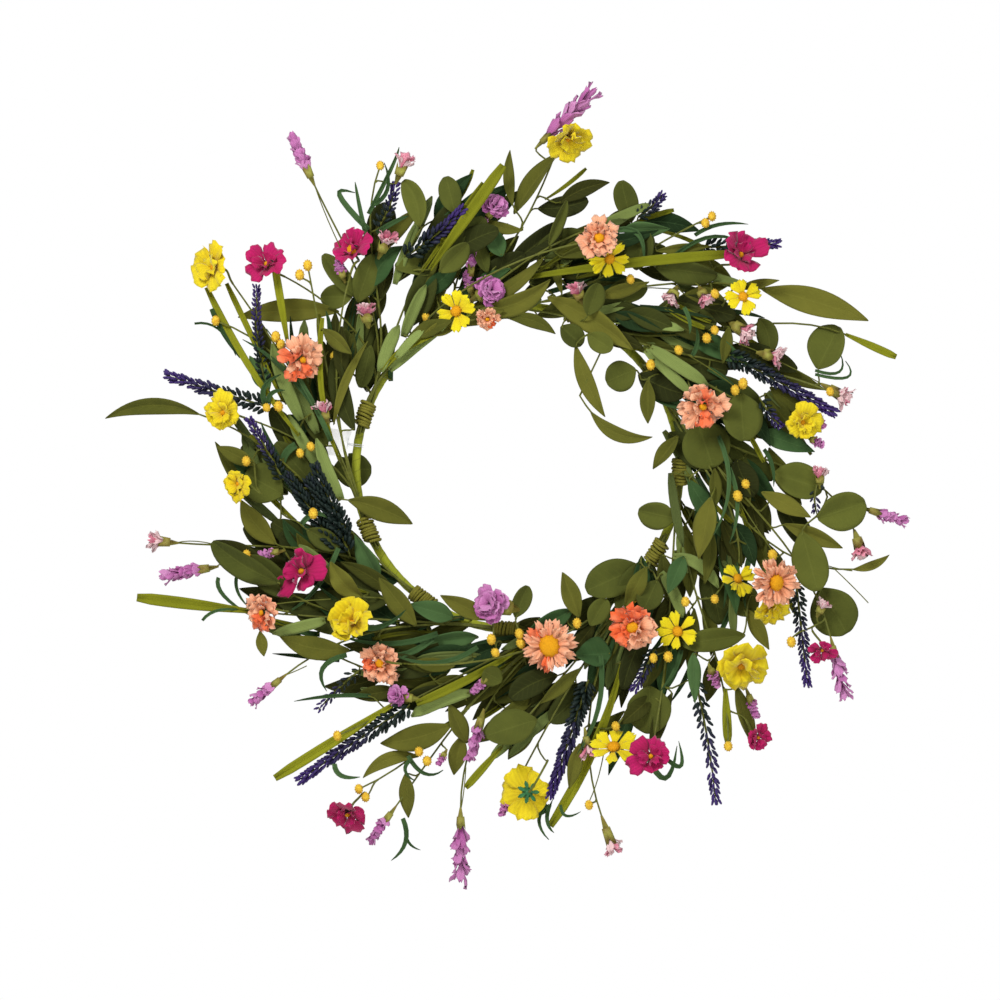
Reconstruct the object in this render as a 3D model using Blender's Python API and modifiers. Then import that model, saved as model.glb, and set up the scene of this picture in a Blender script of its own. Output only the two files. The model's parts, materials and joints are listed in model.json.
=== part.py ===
"""Wildflower wreath: a taped wire hoop with bunches of artificial stems bound round it.

The wreath hangs in the XZ plane and faces -Y. The origin is where a hook carries it, at the top
of the hoop's inner side. Every bunch is bound on at its own clock angle and runs clockwise, and
each one rises towards the viewer as it leaves its binding, so it lies over the next binding.
"""

import math

import bmesh
import bpy
from mathutils import Matrix, Vector
from mathutils.bvhtree import BVHTree

MM = 0.001

# Hoop
RING_RADIUS = 122 * MM  # hoop centre line
CORE_RADIUS = 2.0 * MM
TAPE_FIT = 0.5 * MM  # room between the wire and the tape's inside
TAPE_THICKNESS = 0.9 * MM
TAPE_RADIUS = CORE_RADIUS + TAPE_FIT + TAPE_THICKNESS
HOOP_STEPS = 36
HOOP_JOINT = math.radians(1.0)  # the butt joint of hoop and tape, under a binding

# Bunches
BUNCH_ANGLES = (289, 321, 352, 22, 57, 91, 121, 152, 184, 216, 247)  # clockwise from the top
LAYER_RISE = 15 * MM  # how far a bunch rises in 30 degrees of the hoop
SWEEP_BACK = 0.10  # how far outer ends lean back, per metre outside the hoop
BUNDLE_RADIUS = 4.2 * MM
BUNDLE_TAIL = math.radians(5)
BUNDLE_REACH = math.radians(9)
BINDING_LENGTH = 18 * MM
BINDING_WALL = 1.2 * MM
BINDING_SLACK = 1.3 * MM  # room for the hoop's curve inside the straight band
CLEARANCE = 0.55 * MM
STEM_RADIUS = 1.1 * MM
STEM_TIP = 0.38  # a stem's radius where it enters its leaf or flower, as a share of the full one
STEM_STEPS = 3
TWIG_REACH = 62 * MM  # a piece this near a stem of its bunch joins it by a twig
TWIG_TURN = 1.1  # how much a twig that turns off sharply counts as farther
LEAF_THICKNESS = 1.0 * MM
LEVELS = (0, 1.7 * MM, -1.7 * MM, 3.4 * MM, -3.4 * MM, 5.1 * MM)  # lifts that neighbours in a bunch take
STEM_LEVEL = -5.2 * MM  # stems run behind the leaves of their bunch
BERRY_RADIUS = 3.6 * MM

# Flower heads
HEAD_GAP = 0.4 * MM
HEAD_DEPTH = 0.42  # length of a calyx, as a share of the head's radius
HEAD_CLEAR = 1.5 * MM  # between a head and what lies behind it
LOOK_RINGS = 7  # rings of sight lines that find what lies behind a head
NECK_RADIUS = 1.3 * MM
HOOK_SIDE = (0.51, 0.86)  # the side (x, z) from which a stem hooks over a head turned away

# Tag
TAG_WIDTH = 20 * MM
TAG_HEIGHT = 16 * MM
TAG_THICKNESS = 0.6 * MM
TAG_HOLE = 1.3 * MM
THREAD_RADIUS = 0.35 * MM
TAG_CLOCK = math.radians(278)
THREAD_LOOP = TAPE_RADIUS + 2.2 * MM

# The layout was drawn on a hoop of this radius, with x to the right and z up from its centre.
# place() keeps each point's clock angle and its distance from the hoop when the hoop changes.
DRAWN_RADIUS = 122

# Leaves: kind, base, tip, width, sideways bow of the middle (left of base to tip is positive)
LEAVES = (
    ("round", (-122, 128), (-146, 160), 15, 0),
    ("round", (-120, 124), (-108, 160), 21, 0),
    ("round", (-124, 128), (-148, 128), 19, 0),
    ("strap", (-134, 6), (-146, 112), 8, 7),
    ("dark", (-112, 134), (-86, 166), 20, 4),
    ("round", (-57, 146), (-92, 150), 17, -3),
    ("blade", (-86, 98), (-69, 137), 9, 1),
    ("blade", (-103, 72), (-89, 107), 10, 1),
    ("round", (-118, 58), (-110, 94), 14, 0),
    ("willow", (-82, 98), (-49, 110), 13, 0),
    ("willow", (-138, 32), (-112, 95), 7, 4),
    ("willow", (-146, 104), (-124, 85), 12, 0),
    ("round", (-133, -2), (-110, -2), 24, 0),
    ("strap", (-66, 148), (-11, 226), 9, 0),
    ("strap", (-72, 147), (-26, 213), 5, 0),
    ("round", (-74, 180), (-86, 215), 17, -4),
    ("round", (-47, 190), (-54, 218), 17, 0),
    ("round", (-58, 146), (-38, 168), 19, 0),
    ("willow", (4, 178), (-28, 187), 9, 3),
    ("dark", (-12, 158), (-24, 183), 15, 0),
    ("round", (-23, 146), (-33, 172), 12, 0),
    ("willow", (-4, 196), (-6, 238), 9, 2),
    ("willow", (-3, 190), (31, 236), 15, 2),
    ("round", (23, 166), (36, 200), 10, 0),
    ("round", (85, 184), (77, 215), 18, 0),
    ("dark", (78, 178), (114, 179), 15, 0),
    ("round", (88, 148), (96, 178), 24, 0),
    ("round", (103, 150), (149, 144), 20, 0),
    ("strap", (4, 142), (163, 160), 8, 2),
    ("willow", (103, 162), (144, 166), 8, 0),
    ("blade", (28, 150), (56, 172), 9, 0),
    ("willow", (33, 130), (22, 170), 8, 0),
    ("willow", (-38, 119), (20, 158), 12, -5),
    ("willow", (-30, 118), (24, 141), 17, -7),
    ("willow", (22, 128), (86, 88), 20, 3),
    ("round", (52, 114), (60, 138), 17, 0),
    ("willow", (60, 128), (98, 139), 13, 0),
    ("blade", (68, 111), (124, 103), 9, 2),
    ("dark", (100, 114), (138, 124), 16, 0),
    ("willow", (118, 126), (160, 138), 10, 0),
    ("willow", (182, 134), (262, 110), 21, 2),
    ("willow", (164, 134), (195, 140), 8, 0),
    ("round", (224, 74), (240, 106), 31, 0),
    ("strap", (245, 100), (283, 83), 6, 0),
    ("round", (180, 112), (188, 86), 17, 3),
    ("willow", (158, 106), (153, 78), 10, 0),
    ("dark", (126, 102), (172, 78), 17, 0),
    ("blade", (99, 90), (142, 62), 10, 0),
    ("blade", (95, 88), (130, 55), 8, 0),
    ("round", (166, 56), (169, 20), 32, 0),
    ("round", (134, 36), (146, 0), 37, 0),
    ("dark", (181, 27), (222, 12), 16, 0),
    ("round", (191, -4), (228, -16), 27, 0),
    ("round", (224, -38), (260, -26), 30, 0),
    ("willow", (250, -76), (278, -65), 7, -3),
    ("round", (212, -48), (224, -92), 27, 0),
    ("willow", (199, -42), (243, -60), 13, 0),
    ("willow", (182, -18), (219, -37), 14, 0),
    ("willow", (147, 0), (148, -29), 10, 0),
    ("willow", (144, -22), (135, -68), 20, 0),
    ("blade", (116, -66), (150, -90), 9, 6),
    ("round", (92, -74), (51, -92), 29, 0),
    ("willow", (46, -112), (33, -78), 15, 0),
    ("round", (104, -84), (94, -106), 20, 0),
    ("blade", (107, -78), (123, -112), 9, 2),
    ("round", (170, -125), (123, -132), 18, 0),
    ("round", (158, -84), (176, -110), 25, 0),
    ("willow", (172, -106), (188, -136), 13, 0),
    ("dark", (70, -139), (42, -140), 25, 0),
    ("willow", (46, -150), (16, -176), 12, 0),
    ("strap", (78, -146), (24, -268), 8, 6),
    ("dark", (131, -138), (132, -176), 11, 0),
    ("round", (98, -163), (99, -199), 36, 0),
    ("strap", (155, -165), (157, -205), 7, 0),
    ("willow", (163, -162), (177, -210), 12, 0),
    ("willow", (46, -206), (38, -240), 12, 0),
    ("round", (226, -90), (246, -124), 36, 0),
    ("round", (-178, -86), (-228, -55), 20, 3),
    ("strap", (-200, -107), (-285, -97), 9, 0),
    ("blade", (-144, -114), (-184, -124), 9, 0),
    ("willow", (-126, -136), (-178, -126), 18, 4),
    ("willow", (-193, -122), (-190, -141), 9, 0),
    ("willow", (-181, -57), (-207, -24), 17, 3),
    ("round", (-158, -46), (-134, -60), 16, 0),
    ("strap", (-92, -176), (-182, -232), 8, 0),
    ("strap", (0, -136), (-76, -176), 7, 2),
    ("willow", (-238, 40), (-309, 37), 13, -12),
    ("willow", (-196, 2), (-225, 16), 12, 0),
    ("round", (-176, -20), (-204, -4), 30, 0),
    ("strap", (-164, 24), (-233, 135), 7, 4),
    ("strap", (-176, 50), (-218, 138), 6, 0),
    ("dark", (-186, 58), (-201, 84), 14, 0),
    ("willow", (-134, 117), (-210, 113), 18, -3),
    ("blade", (-162, 36), (-184, 93), 10, 2),
    ("blade", (-150, 26), (-169, 68), 9, 0),
    ("blade", (-132, -24), (-151, 22), 10, 2),
    ("blade", (-140, -10), (-172, 40), 9, 2),
    ("strap", (-172, 92), (-182, 152), 6, 0),
    ("willow", (-112, -34), (-79, -41), 15, 0),
    ("round", (118, -38), (90, -32), 23, 0),
    ("willow", (43, 92), (65, 38), 13, -3),
    ("willow", (54, 38), (100, 22), 11, 14),
    ("round", (88, 74), (66, 64), 24, 0),
    ("willow", (97, 66), (97, 33), 12, 0),
    ("willow", (120, 24), (101, -1), 12, 0),
    ("round", (-2, -112), (7, -88), 14, 0),
    ("willow", (-20, -114), (-58, -95), 14, 0),
    ("round", (14, -188), (-24, -200), 28, 0),
    ("willow", (-38, -206), (-52, -176), 15, 0),
    ("willow", (-50, -192), (-103, -206), 20, 3),
    ("willow", (-42, -200), (-48, -230), 14, 0),
    ("strap", (-12, -208), (-39, -239), 6, 0),
    ("willow", (-74, -216), (-116, -232), 11, -6),
    ("willow", (-84, -228), (-82, -262), 13, 0),
    ("blade", (-36, -168), (-80, -186), 11, -3),
    ("dark", (-30, -126), (-76, -130), 14, 0),
    ("dark", (-48, -112), (-82, -102), 16, 0),
    ("willow", (-76, -118), (-104, -82), 17, 0),
    ("dark", (-104, -84), (-122, -50), 17, 0),
    ("willow", (-116, -96), (-140, -70), 16, 4),
    ("round", (20, -148), (16, -168), 14, 0),
    ("round", (-12, -160), (-26, -152), 16, 0),
)

# Lavender spikes: base, tip, radius
LAVENDER = (
    ((-188, 46), (-265, 70), 5.0),
    ((-176, -8), (-202, 38), 5.0),
    ((-190, 66), (-195, 137), 4.5),
    ((-104, 180), (-92, 216), 4.0),
    ((-84, 160), (-36, 198), 5.0),
    ((92, 188), (108, 204), 4.0),
    ((140, 165), (197, 168), 4.0),
    ((158, 84), (238, 40), 6.0),
    ((182, 50), (198, 30), 4.5),
    ((224, -12), (224, -36), 4.5),
    ((208, -88), (216, -162), 5.0),
    ((133, -160), (148, -250), 4.5),
    ((102, -136), (85, -168), 4.5),
    ((52, -160), (24, -245), 6.0),
    ((-119, -152), (-150, -182), 4.5),
    ((-82, -178), (-164, -234), 6.0),
    ((-140, -50), (-160, -12), 5.0),
)

# Freesia-like lilac sprays: calyx end, petal end, radius
LILAC = (
    ((-153, 213), (-172, 254), 5.5),
    ((14, 240), (64, 290), 4.5),
    ((-26, 188), (-6, 202), 5.0),
    ((-36, 138), (-33, 176), 4.5),
    ((-38, 129), (-14, 142), 5.5),
    ((-2, -106), (-34, -94), 5.5),
    ((-226, -74), (-272, -82), 5.5),
    ((-174, -155), (-205, -180), 4.5),
    ((-76, -172), (-99, -170), 4.5),
    ((-26, -182), (-38, -225), 5.5),
    ((-54, -212), (-61, -224), 4.0),
    ((-92, -254), (-114, -284), 4.5),
    ((-43, -256), (-43, -318), 5.5),
    ((258, -30), (296, -42), 4.5),
    ((234, -128), (246, -180), 4.5),
    ((218, 22), (230, 16), 5.0),
    ((171, -166), (180, -190), 4.5),
)

# Small pink blooms: calyx end, petal end, radius
PINKS = (
    ((-91, 214), (-82, 238), 5.0),
    ((-104, 158), (-95, 178), 5.0),
    ((-112, 106), (-115, 124), 5.5),
    ((48, 124), (42, 138), 5.0),
    ((118, 134), (112, 122), 5.5),
    ((158, 110), (176, 96), 5.5),
    ((180, 86), (200, 82), 5.5),
    ((228, 62), (251, 49), 5.0),
    ((-256, -56), (-279, -54), 4.5),
    ((252, -48), (259, -70), 5.0),
    ((62, -250), (72, -290), 3.5),
    ((50, -196), (54, -220), 3.5),
)

# Berry stems: bend of the stem, berry centre
BERRIES = (
    ((-114, 198), (-103, 226)),
    ((-154, 122), (-160, 147)),
    ((106, 170), (142, 186)),
    ((208, 70), (233, 57)),
    ((240, -80), (204, -130)),
    ((30, -240), (53, -252)),
    ((-110, -190), (-135, -200)),
    ((-92, -230), (-116, -242)),
    ((-170, -60), (-207, -68)),
    ((-180, 4), (-202, 4)),
)

# Flower heads: name, family, centre, radius, facing (x, z) and how far it faces the viewer
HEADS = (
    ("yellow_cosmos_1", "cosmos", (-47, 117), 16, (-0.30, 0.00), 1),
    ("yellow_cosmos_2", "cosmos", (69, 155), 15, (0.30, -0.40), 1),
    ("yellow_cosmos_3", "cosmos", (168, 128), 14, (-0.10, 0.05), 1),
    ("yellow_cosmos_4", "cosmos", (119, -122), 15, (-0.10, 0.10), 1),
    ("yellow_cosmos_5", "cosmos", (71, -207), 18, (-0.10, 0.60), 1),
    ("yellow_cosmos_6", "cosmos", (165, -82), 14, (0.35, 0.40), 1),
    ("ruffled_yellow_9", "ruffled", (190, -106), 13, (0.10, -0.50), 1),
    ("ruffled_yellow_1", "ruffled", (-229, 150), 19, (-0.75, 0.10), 1),
    ("ruffled_yellow_2", "ruffled", (-221, 41), 16, (-0.35, -0.10), 1),
    ("ruffled_yellow_3", "ruffled", (-210, -12), 14, (-0.70, 0.00), 1),
    ("ruffled_yellow_4", "ruffled", (38, 244), 17, (0.70, 0.20), 1),
    ("ruffled_yellow_5", "ruffled", (213, 34), 15, (0.15, 0.00), 1),
    ("ruffled_yellow_6", "ruffled", (167, -149), 22, (0.25, -0.70), 1),
    ("ruffled_yellow_7", "ruffled", (6, -243), 19, (-0.20, -0.10), -1),
    ("ruffled_yellow_8", "ruffled", (-125, -114), 17, (-0.30, 0.30), 1),
    ("magenta_bloom_1", "magenta", (-188, 153), 18, (-0.10, 0.35), 1),
    ("magenta_bloom_2", "magenta", (-125, 164), 17, (0.00, -0.25), 1),
    ("magenta_bloom_3", "magenta", (167, 160), 19, (0.45, 0.10), 1),
    ("magenta_bloom_4", "magenta", (-163, -77), 21, (-0.10, 0.00), 1),
    ("magenta_bloom_5", "magenta", (99, -215), 16, (0.00, 0.10), 1),
    ("magenta_bloom_6", "magenta", (-128, -262), 17, (-0.35, 0.30), 1),
    ("magenta_bloom_7", "magenta", (180, -202), 12, (0.40, -0.30), 1),
    ("magenta_bloom_8", "magenta", (227, -137), 11, (0.00, -0.60), 1),
    ("peach_bloom_1", "peach", (-161, 81), 18, (0.35, -0.30), 1),
    ("peach_bloom_2", "peach", (60, 171), 17, (-0.05, 0.05), 1),
    ("peach_bloom_3", "peach", (138, 46), 20, (-0.10, -0.40), 1),
    ("peach_bloom_4", "peach", (-23, 111), 10, (0.10, -0.40), 1),
    ("peach_bloom_5", "peach", (23, -133), 20, (-0.15, 0.00), 1),
    ("peach_bloom_6", "peach", (86, -119), 20, (-0.20, -0.10), 1),
    ("peach_bloom_7", "peach", (193, -86), 19, (0.35, -0.20), 1),
    ("peach_bloom_8", "peach", (-191, -108), 17, (-0.60, -0.20), 1),
    ("peach_bloom_9", "peach", (-103, -146), 17, (-0.25, -0.10), 1),
)

LEAF_SHAPES = {  # half width at even steps along the leaf, as a share of the full half width
    "willow": (0.35, 1.00, 0.15),
    "round": (0.45, 1.00, 0.40),
    "dark": (0.35, 1.00, 0.15),
    "blade": (0.45, 1.00, 0.40),
    "strap": (0.60, 1.00, 0.85),
}
COLOURS = {
    "steel": ((0.35, 0.36, 0.37), 0.35, 1.0),
    "tape": ((0.30, 0.35, 0.04), 0.65, 0.0),
    "binding": ((0.10, 0.12, 0.02), 0.60, 0.0),
    "foliage": ((0.09, 0.13, 0.03), 0.75, 0.0),
    "cosmos": ((0.93, 0.80, 0.00), 0.70, 0.0),
    "ruffled": ((0.87, 0.66, 0.00), 0.70, 0.0),
    "magenta": ((0.60, 0.00, 0.15), 0.70, 0.0),
    "peach": ((0.92, 0.42, 0.26), 0.70, 0.0),
    "card": ((0.90, 0.90, 0.88), 0.60, 0.0),
    "thread": ((0.75, 0.78, 0.80), 0.25, 0.0),
}

RING_CENTRE = Vector((0, 0, -(RING_RADIUS - TAPE_RADIUS)))
BUNDLE_DEPTH = TAPE_RADIUS + CLEARANCE + BUNDLE_RADIUS

for old in list(bpy.data.objects):
    bpy.data.objects.remove(old)

wreath = bpy.data.collections.new("flower_wreath")
bpy.context.scene.collection.children.link(wreath)
helpers = bpy.data.collections.new("helpers")
bpy.context.scene.collection.children.link(helpers)


def material(name):
    """The material of one finish, made the first time it is asked for."""
    if name in bpy.data.materials:
        return bpy.data.materials[name]
    colour, roughness, metallic = COLOURS[name]
    made = bpy.data.materials.new(name)
    made.use_nodes = True
    shader = made.node_tree.nodes["Principled BSDF"]
    shader.inputs["Base Color"].default_value = (*colour, 1)
    shader.inputs["Roughness"].default_value = roughness
    shader.inputs["Metallic"].default_value = metallic
    return made


def add_object(name, data, finish, collection=wreath):
    made = bpy.data.objects.new(name, data)
    collection.objects.link(made)
    if finish:
        data.materials.append(material(finish))
    return made


def evaluated_mesh(source):
    """The mesh that an object's modifiers or bevel give, welded at its caps."""
    bpy.context.view_layer.update()
    graph = bpy.context.evaluated_depsgraph_get()
    mesh = bpy.data.meshes.new_from_object(source.evaluated_get(graph))
    mesh.transform(source.matrix_world)
    shape = bmesh.new()
    shape.from_mesh(mesh)
    bmesh.ops.remove_doubles(shape, verts=shape.verts, dist=0.00001)
    bmesh.ops.recalc_face_normals(shape, faces=shape.faces)
    shape.to_mesh(mesh)
    shape.free()
    return mesh


def ring_direction(clock):
    """Outward from the hoop's centre at a clock angle in radians."""
    return Vector((math.sin(clock), 0, math.cos(clock)))


def ring_tangent(clock):
    """Clockwise along the hoop."""
    return Vector((math.cos(clock), 0, -math.sin(clock)))


def place(point):
    """A drawn point (mm) at its clock angle and distance from the hoop, as x and z in metres."""
    x, z = point
    drawn = math.hypot(x, z)
    radius = (drawn - DRAWN_RADIUS) * MM + RING_RADIUS
    return Vector((x, 0, z)) * (radius / drawn)


def reach_of(bunch, spot):
    """Degrees that a spot lies clockwise of a bunch's binding, from -180 to 180."""
    clock = math.degrees(math.atan2(spot.x, spot.z))
    return (clock - BUNCH_ANGLES[bunch] + 180) % 360 - 180


def on_sheet(bunch, spot, lift=0):
    """The spot moved to the depth at which its bunch lies there, and lifted in front of that."""
    rise = LAYER_RISE * max(reach_of(bunch, spot), -8) / 30
    outside = max(spot.length - RING_RADIUS, 0)
    return Vector((spot.x, -(BUNDLE_DEPTH + rise + lift) + SWEEP_BACK * outside, spot.z))


def stem_path(bunch, base, heading, row):
    """Points in the hoop's plane from the bunch's binding to a base, ending along heading."""
    clock = math.radians(BUNCH_ANGLES[bunch]) + BINDING_LENGTH / 2 / RING_RADIUS
    across = (row % 5 - 2) * 0.28 * BUNDLE_RADIUS
    start = ring_direction(clock) * (RING_RADIUS + across)
    pull = (base - start).length * 0.36
    second = start + ring_tangent(clock) * pull
    third = base - heading * pull
    path = []
    for step in range(STEM_STEPS + 1):
        t = step / STEM_STEPS
        near = start * (1 - t) ** 3 + second * 3 * t * (1 - t) ** 2
        path.append(near + third * 3 * t * t * (1 - t) + base * t**3)
    return path


def bunch_for(base, tip):
    """The bunch whose binding lets a stem reach this base along its own line with least bend."""
    heading = (tip - base).normalized()
    best = None
    for bunch, angle in enumerate(BUNCH_ANGLES):
        reach = reach_of(bunch, base)
        if not 7 < reach < 78:
            continue
        clock = math.radians(angle)
        chord = base - ring_direction(clock) * RING_RADIUS
        bend = chord.angle(ring_tangent(clock)) + chord.angle(heading)
        cost = bend + reach / 90
        if best is None or cost < best[0]:
            best = (cost, bunch)
    return best[1]


def tube(name, points, radius, sides_level=0, tip_share=1):
    """A closed tube mesh along a list of points, narrowed at its last point by tip_share."""
    curve = bpy.data.curves.new(name, "CURVE")
    curve.dimensions = "3D"
    curve.bevel_depth = radius
    curve.bevel_resolution = sides_level
    curve.use_fill_caps = True
    spline = curve.splines.new("POLY")
    spline.points.add(len(points) - 1)
    for node, point in zip(spline.points, points):
        node.co = (*(point + RING_CENTRE), 1)
    spline.points[-1].radius = tip_share
    guide = add_object(name, curve, None, helpers)
    mesh = evaluated_mesh(guide)
    bpy.data.objects.remove(guide)
    return mesh


def leaf(kind, bunch, base, tip, width, bow, lift):
    """A thin closed leaf on its bunch's sheet, from a grid bent to the outline and thickened."""
    shares = LEAF_SHAPES[kind]
    columns = len(shares)
    shape = bmesh.new()
    bmesh.ops.create_grid(shape, x_segments=columns - 1, y_segments=1, size=0.5)
    along = tip - base
    side = Vector((-along.z, 0, along.x)).normalized()
    for vert in shape.verts:
        t = vert.co.x + 0.5
        edge = 1 if vert.co.y > 0 else -1
        middle = base + along * t + side * bow * math.sin(math.pi * t)
        half = width / 2 * shares[round(t * (columns - 1))]
        vert.co = on_sheet(bunch, middle + side * edge * half, lift) + RING_CENTRE
    mesh = bpy.data.meshes.new(kind)
    shape.to_mesh(mesh)
    shape.free()
    guide = add_object(kind, mesh, None, helpers)
    wall = guide.modifiers.new("thickness", "SOLIDIFY")
    wall.thickness = LEAF_THICKNESS
    wall.offset = 0
    finished = evaluated_mesh(guide)
    bpy.data.objects.remove(guide)
    return finished


def spindle(name, ends, radii):
    """A closed five-sided spindle between two points, with radii at ends and middle."""
    start, end = ends
    shape = bmesh.new()
    count = len(radii)
    bmesh.ops.create_cone(
        shape, cap_ends=True, segments=5, radius1=radii[0], radius2=radii[-1], depth=1
    )
    for cut in range(1, count - 1):
        bmesh.ops.bisect_plane(
            shape,
            geom=shape.verts[:] + shape.edges[:] + shape.faces[:],
            plane_co=(0, 0, cut / (count - 1) - 0.5),
            plane_no=(0, 0, 1),
        )
    turn = (end - start).to_track_quat("Z", "Y")
    for vert in shape.verts:
        t = vert.co.z + 0.5
        flat = Vector((vert.co.x, vert.co.y, 0)).normalized()
        wide = flat * radii[round(t * (count - 1))]
        vert.co = turn @ wide + start.lerp(end, t) + RING_CENTRE
    mesh = bpy.data.meshes.new(name)
    bmesh.ops.recalc_face_normals(shape, faces=shape.faces)
    shape.to_mesh(mesh)
    shape.free()
    return mesh


def berry(name, centre):
    shape = bmesh.new()
    bmesh.ops.create_icosphere(shape, subdivisions=1, radius=BERRY_RADIUS)
    bmesh.ops.translate(shape, verts=shape.verts, vec=centre + RING_CENTRE)
    mesh = bpy.data.meshes.new(name)
    shape.to_mesh(mesh)
    shape.free()
    return mesh


# Hoop: a steel core and the tape wound round it. Both are open at one joint.
def hoop_points():
    start = math.radians(BUNCH_ANGLES[-1]) + HOOP_JOINT / 2
    sweep = 2 * math.pi - HOOP_JOINT
    steps = [start + sweep * step / HOOP_STEPS for step in range(HOOP_STEPS + 1)]
    return [ring_direction(clock) * RING_RADIUS for clock in steps]


add_object("hoop_wire", tube("hoop_wire", hoop_points(), CORE_RADIUS, 1), "steel")

tape_curve = bpy.data.curves.new("hoop_tape", "CURVE")
tape_curve.dimensions = "3D"
tape_curve.bevel_depth = TAPE_RADIUS
tape_curve.bevel_resolution = 1
tape_spline = tape_curve.splines.new("POLY")
tape_spline.points.add(HOOP_STEPS)
for tape_node, tape_point in zip(tape_spline.points, hoop_points()):
    tape_node.co = (*(tape_point + RING_CENTRE), 1)
tape_guide = add_object("hoop_tape_guide", tape_curve, None, helpers)
tape = add_object("hoop_tape", evaluated_mesh(tape_guide), "tape")
bpy.data.objects.remove(tape_guide)
tape_wall = tape.modifiers.new("thickness", "SOLIDIFY")
tape_wall.thickness = TAPE_THICKNESS
tape_wall.offset = -1


# Bindings: a band round the hoop and the bunch that lies on its front.
def stadium(curve, radius, back_radius, gap):
    """A closed outline round two circles, gap apart: x across, y from hoop to bunch."""
    spline = curve.splines.new("POLY")
    corners = []
    for step in range(6):
        turn = math.pi * (1 + step / 5)
        corners.append((back_radius * math.cos(turn), back_radius * math.sin(turn)))
    for step in range(6):
        turn = math.pi * step / 5
        corners.append((radius * math.cos(turn), gap + radius * math.sin(turn)))
    spline.points.add(len(corners) - 1)
    for node, (x, y) in zip(spline.points, corners):
        node.co = (x, y, 0, 1)
    spline.use_cyclic_u = True


for bunch, angle in enumerate(BUNCH_ANGLES):
    band = bpy.data.curves.new(f"binding_{bunch + 1:02d}", "CURVE")
    band.dimensions = "2D"
    band.fill_mode = "BOTH"
    band.extrude = BINDING_LENGTH / 2
    inner = TAPE_RADIUS + BINDING_SLACK
    stadium(band, BUNDLE_RADIUS + CLEARANCE + BINDING_WALL, inner + BINDING_WALL, BUNDLE_DEPTH)
    stadium(band, BUNDLE_RADIUS + CLEARANCE, inner, BUNDLE_DEPTH)
    clock = math.radians(angle)
    holder = add_object(band.name, band, "binding")
    outward = ring_direction(clock)
    forward = Vector((0, -1, 0))
    along = outward.cross(forward)
    frame = (outward, forward, along)
    turned = Matrix(frame).transposed().to_4x4()
    holder.matrix_world = Matrix.Translation(outward * RING_RADIUS + RING_CENTRE) @ turned

# Sprays: the pieces of each bunch, before they are joined.
pieces = [[] for _ in BUNCH_ANGLES]
stations = [[] for _ in BUNCH_ANGLES]  # places on a bunch's stems where a twig can start


def grow(bunch, end, heading, lift):
    """A twig from the nearest stem of the bunch to an end, or a stem from its binding."""
    best = None
    for station, direction in stations[bunch]:
        twig = Vector((end.x - station.x, 0, end.z - station.z))
        cost = twig.length * (1 + TWIG_TURN * direction.angle(twig, 0))
        if best is None or cost < best[0]:
            best = (cost, station)
    row = len(pieces[bunch])
    if best is not None and best[0] < TWIG_REACH:
        path = [best[1], on_sheet(bunch, end, lift)]
    else:
        path = []
        for spot in stem_path(bunch, end, heading, row):
            path.append(on_sheet(bunch, spot, STEM_LEVEL))
        path[-1] = on_sheet(bunch, end, lift)
        path[0].y = -(BUNDLE_DEPTH + (row % 3 - 1) * 0.2 * BUNDLE_RADIUS)
    pieces[bunch].append(tube("stem", path, STEM_RADIUS, tip_share=STEM_TIP))
    for start, stop in zip(path, path[1:]):
        direction = Vector((stop.x - start.x, 0, stop.z - start.z))
        for share in (0.0, 0.33, 0.66):
            stations[bunch].append((start.lerp(stop, share), direction))


for bunch, angle in enumerate(BUNCH_ANGLES):
    clock = math.radians(angle)
    arc = []
    for step in range(4):
        here = clock - BUNDLE_TAIL + (BUNDLE_REACH + BUNDLE_TAIL) * step / 3
        arc.append(ring_direction(here) * RING_RADIUS + Vector((0, -BUNDLE_DEPTH, 0)))
    pieces[bunch].append(tube("bundle", arc, BUNDLE_RADIUS, 2))


def tree_of(meshes):
    shape = bmesh.new()
    for mesh in meshes:
        shape.from_mesh(mesh)
    tree = BVHTree.FromBMesh(shape)
    shape.free()
    return tree


leaf_trees = [[] for _ in BUNCH_ANGLES]


def leaf_growth(kind, drawn_base, drawn_tip, width, bow):
    """A leaf at the level of its bunch where it cuts through the fewest leaves laid before it."""
    base = place(drawn_base)
    tip = place(drawn_tip)
    bunch = bunch_for(base, tip)
    along = tip - base
    side = Vector((-along.z, 0, along.x)).normalized()
    heading = (along + side * bow * MM * math.pi).normalized()
    end = base + heading * min(along.length * 0.2, 7 * MM)
    best = None
    for lift in LEVELS:
        mesh = leaf(kind, bunch, base, tip, width * MM, bow * MM, lift)
        tree = tree_of([mesh])
        crossed = sum(bool(tree.overlap(other)) for other in leaf_trees[bunch])
        if best is None or crossed < best[0]:
            best = (crossed, lift, mesh, tree)
        if crossed == 0:
            break
    crossed, lift, mesh, tree = best
    leaf_trees[bunch].append(tree)
    return bunch, end, heading, lift, mesh


def spindle_growth(lift, drawn_base, drawn_tip, radius, shares):
    base = place(drawn_base)
    tip = place(drawn_tip)
    bunch = bunch_for(base, tip)
    heading = (tip - base).normalized()
    ends = (on_sheet(bunch, base, lift), on_sheet(bunch, tip, lift))
    mesh = spindle("spindle", ends, [radius * MM * share for share in shares])
    return bunch, base + heading * 3 * MM, heading, lift, mesh


def berry_growth(drawn_base, drawn_tip):
    base = place(drawn_base)
    tip = place(drawn_tip)
    bunch = bunch_for(base, tip)
    return bunch, tip, (tip - base).normalized(), 0, berry("berry", on_sheet(bunch, tip))


growths = [leaf_growth(*entry) for entry in LEAVES]
growths += [spindle_growth(0, *entry, (0.6, 1.0, 0.8, 0.35)) for entry in LAVENDER]
growths += [spindle_growth(0, *entry, (0.4, 1.0, 0.7)) for entry in LILAC + PINKS]
growths += [berry_growth(*entry) for entry in BERRIES]


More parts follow.
